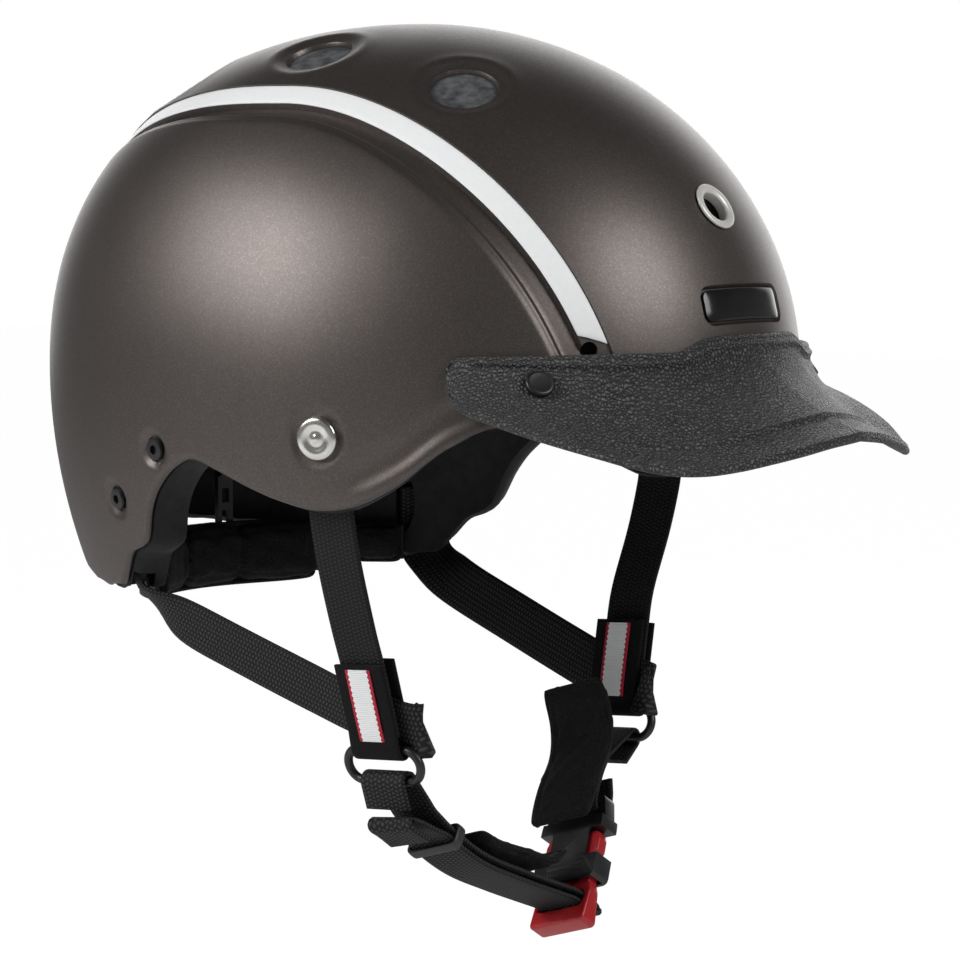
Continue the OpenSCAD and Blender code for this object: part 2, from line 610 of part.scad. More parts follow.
// Housing: walls round the pinion and the bands, closed by a cover behind
module housing_outline() {
    offset(r = 2.5) square([27, 14.6], center = true);
}
module dial_housing() {
    color(plastic_color)
    difference() {
        dial_axis(dial_y - 1.2) linear_extrude(housing_depth + 1.2) housing_outline();
        cradle_arc(band_radius - 0.3, band_thick + 1.05, 15.6, 60);
        dial_axis(dial_y) cylinder(r = pinion_radius + 1.4, h = 3.4, $fn = 48);
        cradle_arc(frame_radius - 20, 20 + frame_thick, 30, 60);
        dial_axis(dial_y - 5) cylinder(d = 3.4, h = 20, $fn = 24);
    }
}
module dial_cover() {
    color(plastic_color)
    dial_axis(dial_y + housing_depth) difference() {
        linear_extrude(1.4) housing_outline();
        translate([0, 0, -1]) cylinder(d = 3.12, h = 4, $fn = 32);
    }
}
// Fit band: a plate round the side of the cradle, with a toothed strip that runs past the pinion
rack_clear = 1.05;
rack_strip = 1.35;
strip_low = pinion_radius + rack_clear;
plate_low = -3.9;
plate_height = strip_low + rack_strip - plate_low;
plate_middle = plate_low + plate_height / 2;
band_overlap = 12;
plate_start = 20;
module fit_band(upper) {
    turn_per_tooth = 180 * tooth_module / (band_radius + band_thick / 2);
    translate(cradle_center) {
        rotate([0, 0, 90 - band_reach]) rotate_extrude(angle = band_reach + band_overlap, $fn = 160)
            translate([band_radius, upper ? strip_low : -strip_low - rack_strip])
            square([band_thick, rack_strip]);
        rotate([0, 0, 90 - band_reach]) rotate_extrude(angle = band_reach - plate_start, $fn = 160)
            translate([band_radius, upper ? plate_low : -plate_low - plate_height])
            square([band_thick, plate_height]);
        for (k = [-3:6]) rotate([0, 0, -k * turn_per_tooth])
            translate([0, band_radius, (upper ? 1 : -1) * pinion_radius]) rotate([-90, 0, 0])
            linear_extrude(band_thick) rotate(upper ? 0 : 180)
            translate([0, -0.15]) tooth_shape(tooth_thick);
    }
}
module fit_band_left() { color(plastic_color) fit_band(true); }
module fit_band_right() { color(plastic_color) mirror([1, 0, 0]) fit_band(false); }
wing_pad_thick = 5;
module wing_pad(lift) {
    translate([0, 0, lift])
        arc_pad([frame_turn + 10.5, band_reach - 1], band_radius - 0.05, wing_pad_thick,
            plate_height + 0.6, 1, 10, 6);
}
module wing_pad_left() { color(pad_color) wing_pad(plate_middle); }
module wing_pad_right() { color(pad_color) mirror([1, 0, 0]) wing_pad(-plate_middle); }

// The harness hangs in a leaning plane: x is sideways, t is down from the rings
loop_lean = 16;
loop_origin = [0, -31, -113];
loop_down = [0, -sin(loop_lean), -cos(loop_lean)];
loop_across = [0, -cos(loop_lean), sin(loop_lean)];
function on_loop(p) = loop_origin + [p[0], 0, 0] + loop_down * p[1];
module loop_place(p) {
    translate(on_loop(p)) rotate([-loop_lean, 0, 0]) children();
}

// The ring has its own frame: out is away from the head, up is along the front strap
ring_middle = [60.8, 5.1];
ring_lean = 15;
ring_roll = 3;
ring_half_height = 5.2;
ring_half_width = 14;
ring_wire = 2.8;
ring_out = [cos(ring_lean), -sin(ring_lean) * sin(ring_roll), -sin(ring_lean) * cos(ring_roll)];
ring_up = [sin(ring_lean), cos(ring_lean) * sin(ring_roll), cos(ring_lean) * cos(ring_roll)];
ring_across = [0, -cos(ring_roll), sin(ring_roll)];
ring_down = [0, -sin(ring_roll), -cos(ring_roll)];
function ring_point(out, up) = on_loop(ring_middle) + ring_out * out + ring_up * up;
module ring_place() {
    translate(on_loop(ring_middle)) rotate([-ring_roll, 0, 0]) rotate([0, ring_lean, 0]) children();
}
layer_gap = webbing_thickness + 1.2;
wrap_radius = ring_wire / 2 + webbing_thickness / 2 + 0.5;

// Front strap, left side: out of the foam and down into the sleeve
module front_strap() {
    path = smooth_path([
        [85.2, -32, -40.2], [80.5, -31.3, -56], [73, -30.2, -75], ring_point(0, 32), ring_point(0, 22),
        ring_point(0, ring_half_height + 4.5)
    ], 5);
    across = [for (i = [0:len(path) - 1]) lerp([0, -1, 0], ring_across, smooth(i / 15))];
    webbing(path, across);
}
module front_strap_left() { color(webbing_color) front_strap(); }
module front_strap_right() { color(webbing_color) mirror([1, 0, 0]) front_strap(); }

// Rear strap, left side: out of the rear corner, forward behind the sleeve, folded at its end
module rear_strap() {
    path = smooth_path([
        [72.3, 56.4, -67.2], [71.6, 50, -72.6], [70, 38, -78.6], [67.4, 14, -87.8], [64.2, -8, -95.8],
        [60.7, -22, -100.2], [59.2, -38, -104], [58.8, -44, -105.3], [57.3, -46.4, -105.8],
        [55.6, -44.2, -105.4], [55.7, -38, -103.8]
    ], 3);
    fold = [0.264, 0.3, 0.9];
    across = [for (i = [0:len(path) - 1]) lerp([0.6, -0.78, -0.1], fold, smooth(i / 7))];
    webbing(path, across);
}
module rear_strap_left() { color(webbing_color) rear_strap(); }
module rear_strap_right() { color(webbing_color) mirror([1, 0, 0]) rear_strap(); }

// Sleeve, left side: a flat band folded round the ring and sewn over the end of the front strap
sleeve_height = 28;
sleeve_width = 20;
sleeve_half_gap = 2;
module strap_sleeve() {
    side_path = [[sleeve_half_gap, sleeve_height], [sleeve_half_gap, 17], [sleeve_half_gap, 7]];
    turn = [for (a = [-10:20:190]) wrap_radius * [cos(a), -sin(a)]];
    back = [for (i = [2:-1:0]) [-side_path[i][0], side_path[i][1]]];
    path = [for (p = concat(side_path, turn, back)) ring_point(p[0], ring_half_height + p[1])];
    webbing(path, [for (p = path) ring_across], sleeve_width);
}
module strap_sleeve_left() { color(webbing_color) strap_sleeve(); }
module strap_sleeve_right() { color(webbing_color) mirror([1, 0, 0]) strap_sleeve(); }
label_size = [0.4, 10, 19];
module strap_label() {
    ring_place()
        translate([sleeve_half_gap + webbing_thickness / 2, -label_size[1] / 2, ring_half_height + 7.4])
        cube(label_size);
}
module strap_label_left() { color("#eceeed") strap_label(); }
module strap_label_right() { color("#eceeed") mirror([1, 0, 0]) strap_label(); }

// Ring: an oval wire that links the sleeve and the chin strap
module strap_ring() {
    straight = 2 * (ring_half_width - ring_half_height);
    ring_place() rotate([0, 90, 0]) {
        for (end = [-1, 1]) translate([0, end * straight / 2, 0]) rotate([0, 0, end * 90 - 90])
            rotate_extrude(angle = 180, $fn = 48) translate([ring_half_height, 0])
            circle(d = ring_wire, $fn = 20);
        for (end = [-1, 1]) translate([end * ring_half_height, 0, 0]) rotate([90, 0, 0])
            cylinder(d = ring_wire, h = straight, center = true, $fn = 20);
    }
}
module strap_ring_left() { color(plastic_color) strap_ring(); }
module strap_ring_right() { color(plastic_color) mirror([1, 0, 0]) strap_ring(); }

// Chin webbing: it starts round the ring's lower bar and then lies in the loop plane
function wrap_bar(start, end, steps) = [for (i = [0:steps])
    let (a = lerp(start, end, i / steps))
    ring_point(0, -ring_half_height) + wrap_radius * ([cos(a), 0, 0] + ring_down * sin(a))];
function from_bar(x, t) = ring_point(0, -ring_half_height) + [x, 0, 0] + ring_down * t;
function offset_path(path, distance) = [for (i = [0:len(path) - 1])
    let (t = unit(path[min(i + 1, len(path) - 1)] - path[max(i - 1, 0)]))
    path[i] + distance * [t[1], -t[0]]];
function reversed(list) = [for (i = [len(list) - 1:-1:0]) list[i]];
// The first points keep to the ring; the webbing then twists into the loop plane
module loop_webbing(start, path) {
    twist_length = 22;
    points = concat(start, [for (p = path) on_loop(p)]);
    bar = start[0];
    webbing(points, [for (i = [0:len(points) - 1])
        lerp(ring_across, loop_across,
            i < len(start) ? 0 : smooth(norm(points[i] - bar) / twist_length))]);
}
// Right side: round the ring, down to the buckle, through its slot and back to the free end
buckle_foot = [7.5, 66.5];
buckle_lean = 35.2;
buckle_along = [sin(buckle_lean), -cos(buckle_lean)];
buckle_out = [cos(buckle_lean), sin(buckle_lean)];
slot_middle = 8.6;
slot_center = buckle_foot + buckle_along * slot_middle;
chin_points = [[-52.5, 22], [-44.5, 31], [-32, 40], [-15, 47.5], [0, 53.4],
    slot_center - buckle_out * 5];
module chin_webbing_right() {
    center_line = concat(smooth_path(chin_points, 4), [slot_center, slot_center + buckle_out * 6.5]);
    inner = offset_path(center_line, layer_gap / 2);
    outer = offset_path(center_line, -layer_gap / 2);
    turn_end = slot_center + buckle_out * 6.5;
    far_turn = [for (a = [-60:30:60])
        turn_end + layer_gap / 2 * (buckle_out * cos(a) + buckle_along * -sin(a))];
    tail = [for (i = [3:len(outer) - 1]) outer[i]];
    free_end = [[-57.5, 22.5], [-53.8, 26]];
    start = concat([from_bar(0.2, 8.6)], wrap_bar(30, -140, 6));
    color(webbing_color)
    loop_webbing([for (p = start) [-p[0], p[1], p[2]]],
        concat(inner, reversed(far_turn), reversed(tail), reversed(free_end)));
}
// Left side: round the ring, into the slot of the buckle and back
module chin_webbing_left() {
    buckle_loop = [[62, -1.6], [55, -2.9], [49, -3.6], [45, -3.7], [42.2, -3.4], [40.6, -1.8], [40.5, 0],
        [40.6, 1.8], [42.2, 3.4], [45, 3.7], [49, 3.4], [54, 1.6]];
    color(webbing_color)
    loop_webbing(concat([from_bar(-5.4, 7.4)], wrap_bar(60, -120, 6)),
        [for (p = buckle_loop) buckle_foot + buckle_along * p[0] + buckle_out * p[1]]);
}

// Chin sleeve: a crowned pad that keeps the buckle off the skin
module loop_pad(path, thick, width, swell) {
    count = len(path);
    cols = 8;
    function grid(sign) = [for (i = [0:count - 1], j = [0:cols])
        let (u = i / (count - 1), v = j / cols, waist = 1 - 0.1 * pow(abs(2 * u - 1), 8))
        let (across = (v - 0.5) * width * waist)
        let (t = unit(path[min(i + 1, count - 1)] - path[max(i - 1, 0)]))
        let (half = thick / 2 + swell * pad_swell(u, v, 1))
        on_loop(path[i] + sign * half * [t[1], -t[0]]) + loop_across * across];
    sheet(grid(-1), grid(1), count, cols + 1);
}
module chin_sleeve() {
    path = smooth_path([[41.3, -9], [42, 2], [38, 12.2], [28, 21.8], [19, 32.7]], 5);
    color(pad_color) loop_pad(reversed(path), 2.4, 24, 1.4);
}
module chin_pad() {
    path = smooth_path([[-33, 31.5], [-27, 35.6], [-14, 40.2], [-2, 44.4], [6, 42.8]], 5);
    color(pad_color) loop_pad(path, 1.8, 21, 1.0);
}

// Rubber keeper: holds the free end against the strap
keeper_middle = [-44.3, 31];
keeper_lean = 48.7;
module strap_keeper() {
    inside = [2 * webbing_thickness + 1.2 + 1.4, webbing_width + 1];
    wall = 1.5;
    color(plastic_color)
    loop_place(keeper_middle) rotate([0, -keeper_lean, 0]) difference() {
        cube([inside[0] + 2 * wall, inside[1] + 2 * wall, 4], center = true);
        cube([inside[0], inside[1], 8], center = true);
    }
}

// Buckle: the red half ends in two prongs, the black half takes them in at its mouth. The halves
// part along an arc about the right ring, so the mouth is wider and higher than the prongs
buckle_width = 22;
buckle_thick = 7;
prong_thick = 3;
prong_edge = 8;
prong_tip = 32.6;
female_start = 15.2;
female_end = 46;
female_half_width = 12.5;
mouth_half_width = 11.3;
mouth_height = 5.2;
window_start = 24.2;
window_end = 33.4;
module buckle_place() {
    loop_place(buckle_foot) rotate([0, buckle_lean, 0]) rotate([90, 0, 90]) children();
}
module buckle_male() {
    color(red_color)
    buckle_place() {
        translate([0, 0, -buckle_thick / 2]) linear_extrude(buckle_thick) difference() {
            offset(r = 1.5) offset(r = -1.5) polygon([
                [-buckle_width / 2, 0], [buckle_width / 2, 0], [buckle_width / 2, 12],
                [buckle_width / 2 - 1.2, 15], [-buckle_width / 2 + 1.2, 15], [-buckle_width / 2, 12]]);
            translate([0, slot_middle]) square([webbing_width + 1, 6.2], center = true);
        }
        translate([0, 0, -prong_thick / 2]) linear_extrude(prong_thick) {
            translate([-2.6, 14.5]) square([5.2, 8]);
            for (side = [-1, 1]) polygon([
                [side * 5.2, 14.5], [side * (prong_edge - 0.4), 14.5], [side * prong_edge, 25],
                [side * prong_edge, 28.5], [side * (prong_edge - 0.8), prong_tip],
                [side * (prong_edge - 2.2), prong_tip], [side * 5.2, 25]]);
        }
    }
}
module buckle_female() {
    half = female_half_width;
    color(plastic_color)
    buckle_place() difference() {
        translate([0, 0, -4]) linear_extrude(8) offset(r = 2) offset(r = -2) polygon([
            [-half, female_start], [half, female_start], [half, 36], [half - 2, female_end],
            [-half + 2, female_end], [-half, 36]]);
        translate([0, 0, -mouth_height / 2]) linear_extrude(mouth_height)
            translate([-mouth_half_width, 10]) square([2 * mouth_half_width, window_end - 10]);
        translate([0, 0, -mouth_height / 2]) linear_extrude(mouth_height)
            for (side = [-1, 1]) translate([side > 0 ? 8 : -18, window_start])
                square([10, window_end - window_start]);
        translate([0, 0, -10]) linear_extrude(20) translate([-webbing_width / 2 - 0.5, 38.2])
            square([webbing_width + 1, 4.6]);
        for (side = [-1, 1]) translate([-20, 37.2, side > 0 ? 2.4 : -12.4]) cube([40, 20, 10]);
    }
}

outer_shell();
impact_liner();
stripe_left();
stripe_right();
front_eyelet();
badge_plate();
visor();
visor_pins();
side_rivets();
rivet_washers();
anchor_screws();
anchor_nuts();
brow_pad();
crown_pad();
side_pads();
front_strap_ends();
rear_strap_ends();
cradle_bracket();
cradle_frame();
nape_pad();
dial_housing();
dial_cover();
dial_knob();
dial_pinion();
fit_band_left();
fit_band_right();
wing_pad_left();
wing_pad_right();
front_strap_left();
front_strap_right();
rear_strap_left();
rear_strap_right();
strap_sleeve_left();
strap_sleeve_right();
strap_label_left();
strap_label_right();
strap_ring_left();
strap_ring_right();
chin_webbing_left();
chin_webbing_right();
chin_sleeve();
chin_pad();
strap_keeper();
buckle_male();
buckle_female();
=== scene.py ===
import json
import math

import bmesh
import bpy
import numpy as np
from mathutils import Matrix, Vector
from mathutils.bvhtree import BVHTree
from mathutils.kdtree import KDTree

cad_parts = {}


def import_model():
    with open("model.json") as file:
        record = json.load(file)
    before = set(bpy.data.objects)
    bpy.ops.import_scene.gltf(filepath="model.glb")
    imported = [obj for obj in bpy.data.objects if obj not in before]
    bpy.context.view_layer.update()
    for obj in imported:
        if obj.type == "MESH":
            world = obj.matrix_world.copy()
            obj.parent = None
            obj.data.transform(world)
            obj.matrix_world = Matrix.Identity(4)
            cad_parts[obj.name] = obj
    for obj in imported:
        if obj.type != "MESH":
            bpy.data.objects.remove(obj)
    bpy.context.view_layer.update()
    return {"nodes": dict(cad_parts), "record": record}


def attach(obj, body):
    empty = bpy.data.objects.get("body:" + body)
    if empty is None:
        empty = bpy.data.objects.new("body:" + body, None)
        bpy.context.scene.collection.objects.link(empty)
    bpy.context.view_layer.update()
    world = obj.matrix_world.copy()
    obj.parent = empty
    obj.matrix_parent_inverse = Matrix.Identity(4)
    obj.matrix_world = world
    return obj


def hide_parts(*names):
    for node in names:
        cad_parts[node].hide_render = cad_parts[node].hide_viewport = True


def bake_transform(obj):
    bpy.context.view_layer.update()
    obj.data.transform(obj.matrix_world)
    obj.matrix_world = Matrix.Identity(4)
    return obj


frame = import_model()
scene = bpy.context.scene
scene.view_settings.view_transform = "Standard"
MM = 0.001

# Camera: the photograph's viewing angle, with the target and distance in millimetres
CAMERA_TURN = math.radians(37.5)
CAMERA_RISE = math.radians(4.6)
CAMERA_DISTANCE = 1300.0
CAMERA_TARGET = np.array([0.0, -22.5, -35.0])
FOCAL_RATIO = 3.157 * CAMERA_DISTANCE / 960
SENSOR = 36.0


def add_camera():
    away = np.array([-math.cos(CAMERA_TURN) * math.cos(CAMERA_RISE),
                     -math.sin(CAMERA_TURN) * math.cos(CAMERA_RISE), math.sin(CAMERA_RISE)])
    place = CAMERA_TARGET + CAMERA_DISTANCE * away
    data = bpy.data.cameras.new("camera")
    data.sensor_width = SENSOR
    data.lens = FOCAL_RATIO * SENSOR
    data.clip_end = 50
    camera = bpy.data.objects.new("camera", data)
    camera.location = place * MM
    camera.rotation_euler = Vector(-away).to_track_quat("-Z", "Y").to_euler()
    scene.collection.objects.link(camera)
    scene.camera = camera


add_camera()


# Numbers and curves
def lerp(a, b, t):
    return a + (b - a) * t


def smooth(t):
    t = np.clip(t, 0, 1)
    return t * t * (3 - 2 * t)


def unit(a):
    a = np.asarray(a, float)
    return a / np.maximum(1e-12, np.linalg.norm(a, axis=-1, keepdims=True))


def mirrored(points, side):
    """Points on the wearer's left for a side of 1, or their mirror image for a side of -1."""
    return np.asarray(points, float) * np.array([side, 1, 1])


def neighbours(count):
    """For each place in a list, the places before and after it, held at the ends."""
    places = np.arange(count)
    return np.maximum(0, places - 1), np.minimum(count - 1, places + 1)


def hermite(start, start_slope, end, end_slope, t):
    return (start * (2 * t**3 - 3 * t**2 + 1) + start_slope * (t**3 - 2 * t**2 + t)
            + end * (3 * t**2 - 2 * t**3) + end_slope * (t**3 - t**2))


def distances_along(path):
    return np.concatenate([[0], np.cumsum(np.linalg.norm(np.diff(path, axis=0), axis=1))])


def curve_value(knots, x):
    """The height at x of a smooth curve through knots of [x, height]."""
    knots = np.asarray(knots, float)
    count = len(knots)
    low, high = neighbours(count)
    slopes = (knots[high, 1] - knots[low, 1]) / (knots[high, 0] - knots[low, 0])
    i = np.clip(np.searchsorted(knots[:, 0], x, side="right") - 1, 0, count - 2)
    h = knots[i + 1, 0] - knots[i, 0]
    t = (x - knots[i, 0]) / h
    return hermite(knots[i, 1], slopes[i] * h, knots[i + 1, 1], slopes[i + 1] * h, t)


def smooth_path(points, steps):
    """A smooth path through the points, with a number of steps from each to the next."""
    p = np.asarray(points, float)
    low, high = neighbours(len(p))
    slopes = (p[high] - p[low]) / (high - low)[:, None]
    rows = []
    for i in range(len(p) - 1):
        for s in range(steps):
            rows.append(hermite(p[i], slopes[i], p[i + 1], slopes[i + 1], s / steps))
    rows.append(p[-1])
    return np.array(rows)


def resample(points, spacing, extra=None):
    """Points at an even spacing along a smooth path, with another list carried along."""
    p = np.asarray(points, float)
    length = distances_along(p)
    at = np.linspace(0, length[-1], max(3, int(length[-1] / spacing)))
    out = np.stack([np.interp(at, length, p[:, k]) for k in range(3)], axis=1)
    if extra is None:
        return out
    e = np.asarray(extra, float)
    return out, np.stack([np.interp(at, length, e[:, k]) for k in range(e.shape[1])], axis=1)


def soften(points, times):
    """Evens out a path and keeps its two ends."""
    p = np.array(points, float)
    for _ in range(times):
        q = p.copy()
        q[1:-1] = 0.25 * p[:-2] + 0.5 * p[1:-1] + 0.25 * p[2:]
        p = q
    return p


# The dome
HALF_WIDTH = 101.0
HALF_LENGTH = 127.0
CROWN = 109.0
WALL = 2.4
# Millimetres down the skirt for each degree of the chart past 90
DROP = 1.9
TUCK = 0.10
TUCK_DEPTH = 65.0


def dome(c, inset=0.0):
    """A point in millimetres for a chart point: its length is the angle from the crown in degrees."""
    c = np.asarray(c, float)
    psi = np.maximum(0.01, np.linalg.norm(c, axis=-1))
    s = np.where(np.linalg.norm(c, axis=-1, keepdims=True) < 0.01, [0.0, 1.0], c / psi[..., None])
    n = lerp(2.0, 2.2, smooth(0.5 + s[..., 1]))
    r = ((np.abs(s[..., 0]) / (HALF_WIDTH - inset)) ** n
         + (np.abs(s[..., 1]) / (HALF_LENGTH - inset)) ** n) ** (-1 / n)
    a = np.radians(np.minimum(psi, 90))
    drop = (psi - 90) * DROP
    above = psi <= 90
    k = np.where(above, np.sin(a) ** (2 / n), 1 - TUCK * (drop / TUCK_DEPTH) ** 2)
    z = np.where(above, (CROWN - inset) * np.maximum(0, np.cos(a)) ** (2 / n), -drop)
    return np.stack([r * k * s[..., 0], r * k * s[..., 1], z], axis=-1)


def chart(turn, angle):
    """A chart point from a turn round the helmet, 0 in front, and an angle from the crown."""
    turn = np.radians(turn)
    return np.stack(np.broadcast_arrays(angle * np.sin(turn), -angle * np.cos(turn)), axis=-1)


def dome_normal(c):
    d = 0.5
    a = dome(c + np.array([d, 0])) - dome(c - np.array([d, 0]))
    b = dome(c + np.array([0, d])) - dome(c - np.array([0, d]))
    return unit(np.cross(a, b))


def on_dome(turn, angle, inset=0.0):
    """A matrix in metres that puts a piece on the dome, its Z axis pointing straight out."""
    c = chart(turn, angle)
    n = dome_normal(c)
    place = (dome(c) - n * inset) * MM
    return (Matrix.Translation(place) @ Matrix.Rotation(math.atan2(n[1], n[0]), 4, "Z")
            @ Matrix.Rotation(math.acos(n[2]), 4, "Y"))


# The rim's height in millimetres at each turn from the front
RIM = [[0, -10], [40, -12.5], [48, -18], [56, -29], [64, -36], [70, -37.5], [78, -35], [85, -31],
       [91, -27], [97, -24], [102, -27], [107, -34], [110, -41], [112.5, -50], [115, -53],
       [119, -56], [122.5, -62], [126, -67], [132, -68], [142, -65.5], [158, -58], [180, -52]]


def rim_angle(c, extra):
    turn = np.minimum(179.9, np.degrees(np.arctan2(np.abs(c[..., 0]), -c[..., 1])))
    return 90 + (extra - curve_value(RIM, turn)) / DROP


def stripe_chart(v):
    y = lerp(-88.5, 115.9, v)
    x = np.where(y < 2, 38.2 - 1.6 * ((y - 2) / 77) ** 2, 38.2 - 22 * smooth((y - 2) / 70))
    return np.stack([x, y], axis=-1)


def beside(c, d):
    step = np.array([0.5, 0.0])
    scale = np.linalg.norm(dome(c + step) - dome(c - step), axis=-1)
    return c + np.stack([d / scale, 0 * scale], axis=-1)


HALF_STRIPE = 7.4 / 2 + 0.1
SEAT = 0.9
GROOVE = 3.0
SHELL_LANES = [
    ("inner", 0, 0), ("inner", 0.25, 0), ("inner", 0.5, 0), ("inner", 0.75, 0),
    ("beside", -HALF_STRIPE - 0.2, 0), ("beside", -HALF_STRIPE, SEAT),
    ("beside", HALF_STRIPE, SEAT + 0.3), ("beside", HALF_STRIPE + 0.6, GROOVE),
    ("valley", 0, GROOVE * 0.75), ("valley", 2, GROOVE * 0.2), ("valley", 5, 0),
    ("outer", 0.14, 0), ("outer", 0.28, 0), ("outer", 0.42, 0), ("outer", 0.56, 0),
    ("outer", 0.7, 0), ("outer", 0.85, 0), ("outer", 1, 0)]
SHELL_STEPS = [11, 11, 11, 10, 1, 4, 2, 4, 5, 5, 8, 9, 9, 9, 9, 9, 10]
LINER_LANES = [
    ("inner", 0, 0), ("inner", 0.45, 0), ("inner", 0.8, 0), ("beside", -HALF_STRIPE - 3, 0),
    ("beside", -HALF_STRIPE, GROOVE), ("valley", 4, GROOVE), ("valley", 8, 0),
    ("outer", 0.3, 0), ("outer", 0.6, 0), ("outer", 0.85, 0), ("outer", 1, 0)]
LINER_STEPS = [8, 6, 3, 1, 3, 1, 5, 5, 4, 3]


def lane_chart(lane, v, extra):
    k = stripe_chart(v)
    middle = np.stack([0 * v, lerp(-1, 1, v)], axis=-1)
    turn = np.radians(lerp(40, 126, v))
    near = beside(k, -HALF_STRIPE - 0.2)
    far = beside(k, HALF_STRIPE + 0.6 + lerp(6, 2.4, smooth(v * 1.4)))
    edge = np.stack([np.sin(turn), -np.cos(turn)], axis=-1)
    kind, place, _ = lane
    if kind == "inner":
        q = lerp(middle, near / rim_angle(near, extra)[..., None], place)
    elif kind == "beside":
        q = beside(k, place)
        q = q / rim_angle(q, extra)[..., None]
    elif kind == "valley":
        q = beside(far, place)
        q = q / rim_angle(q, extra)[..., None]
    else:
        ridge = beside(far, 5)
        q = lerp(ridge / rim_angle(ridge, extra)[..., None], edge, place)
    length = np.maximum(0.001, np.linalg.norm(q, axis=-1, keepdims=True))
    p = lerp(q, q / length, (np.abs(2 * v - 1) ** 12)[..., None])
    return p * rim_angle(p, extra)[..., None]


def front_lip(c, extra):
    """How far the shell's rim rolls outward between the visor's end and the ear lobe."""
    turn = np.degrees(np.arctan2(np.abs(c[..., 0]), -c[..., 1]))
    to_rim = (rim_angle(c, extra) - np.linalg.norm(c, axis=-1)) * DROP
    roll = 1.0 * smooth((6.0 - to_rim) / 5.0) - 0.6 * np.exp(-((to_rim - 9.0) / 4.0) ** 2)
    return roll * smooth((turn - 36) / 8) * smooth((70 - turn) / 10)


def dome_grid(lanes, steps, rows, extra, inset, thin=0.0, bare=False, lip=False):
    """Rows from the brow to the nape by columns from right to left, in millimetres."""
    v = np.linspace(0, 1, rows + 1)
    fade = smooth((0.88 - v) / 0.1)
    charts, depths = [], []
    for k, count in enumerate(steps):
        a, b = lane_chart(lanes[k], v, extra), lane_chart(lanes[k + 1], v, extra)
        soft = lanes[k][0] == "valley"
        for s in range(count + (k == len(steps) - 1)):
            t = s / count
            charts.append(lerp(a, b, t))
            depths.append(lerp(lanes[k][2], lanes[k + 1][2], smooth(t) if soft else t))
    c = np.stack(charts, axis=1)
    depth = np.array(depths)[None, :] * fade[:, None] * (0 if bare else 1)
    near_rim = smooth((np.linalg.norm(c, axis=-1) / rim_angle(c, extra) - 0.8) / 0.2)
    left = dome(c, inset - thin * near_rim + depth - (front_lip(c, extra) if lip else 0))
    right = left[:, 1:][:, ::-1] * np.array([-1, 1, 1])
    return np.concatenate([right, left], axis=1)


# Meshes
def make_object(name, verts, faces, uvs=None):
    mesh = bpy.data.meshes.new(name)
    mesh.from_pydata([tuple(p) for p in np.asarray(verts, float) * MM], [],
                     [tuple(int(i) for i in f) for f in faces])
    mesh.update()
    if uvs is not None:
        layer = mesh.uv_layers.new(name="UVMap")
        flat = np.asarray(uvs, float)
        loops = np.zeros(len(mesh.loops), int)
        mesh.loops.foreach_get("vertex_index", loops)
        layer.data.foreach_set("uv", flat[loops].ravel())
    obj = bpy.data.objects.new(name, mesh)
    scene.collection.objects.link(obj)
    return obj


def shade(obj, angle=40.0):
    """Smooth shading, with sharp edges where faces meet at more than the angle."""
    bm = bmesh.new()
    bm.from_mesh(obj.data)
    limit = math.radians(angle)
    for face in bm.faces:
        face.smooth = True
    for edge in bm.edges:
        edge.smooth = len(edge.link_faces) == 2 and edge.calc_face_angle(0.0) < limit
    bm.to_mesh(obj.data)
    bm.free()
    return obj


def turn_outward(obj, merge=None):
    """Points all faces outward, after joining points closer than the merge distance in metres."""
    bm = bmesh.new()
    bm.from_mesh(obj.data)
    if merge:
        bmesh.ops.remove_doubles(bm, verts=bm.verts, dist=merge)
    bmesh.ops.recalc_face_normals(bm, faces=bm.faces)
    bm.to_mesh(obj.data)
    bm.free()


def end_caps(rows, cols):
    """The faces that close both ends of a tube made of rings."""
    return [tuple(range(cols))[::-1], tuple((rows - 1) * cols + k for k in range(cols))]


def strip_faces(rows, cols, wrap_rows=False, wrap_cols=False, flip=False):
    faces = []
    for i in range(rows if wrap_rows else rows - 1):
        for j in range(cols if wrap_cols else cols - 1):
            a, b = i * cols + j, i * cols + (j + 1) % cols
            c, d = ((i + 1) % rows) * cols + (j + 1) % cols, ((i + 1) % rows) * cols + j
            faces.append((a, d, c, b) if flip else (a, b, c, d))
    return faces


def closed_sheet(name, outer, inner, round_steps=4, bulge=1.0):
    """Two grids joined by a rounded rim."""
    rows, cols = outer.shape[:2]
    n = rows * cols
    verts = [outer.reshape(-1, 3), inner.reshape(-1, 3)]
    faces = strip_faces(rows, cols)
    faces += [tuple(n + i for i in f[::-1]) for f in strip_faces(rows, cols)]
    loop = ([(0, c) for c in range(cols)] + [(r, cols - 1) for r in range(1, rows)]
            + [(rows - 1, c) for c in range(cols - 2, -1, -1)]
            + [(r, 0) for r in range(rows - 2, 0, -1)])
    o = np.array([outer[r, c] for r, c in loop])
    i = np.array([inner[r, c] for r, c in loop])
    back = np.array([outer[min(max(r, 1), rows - 2), min(max(c, 1), cols - 2)] for r, c in loop])
    out = unit(o - back)
    half = np.linalg.norm(o - i, axis=1, keepdims=True) / 2
    rings = [[r * cols + c for r, c in loop]]
    count = 2 * n
    for k in range(1, round_steps):
        angle = math.pi * k / round_steps
        verts.append((o + i) / 2 + (o - i) / 2 * math.cos(angle) + out * half * bulge * math.sin(angle))
        rings.append(list(range(count, count + len(loop))))
        count += len(loop)
    rings.append([n + r * cols + c for r, c in loop])
    for a, b in zip(rings, rings[1:]):
        for k in range(len(loop)):
            m = (k + 1) % len(loop)
            faces.append((a[k], b[k], b[m], a[m]))
    return make_object(name, np.concatenate(verts), faces)


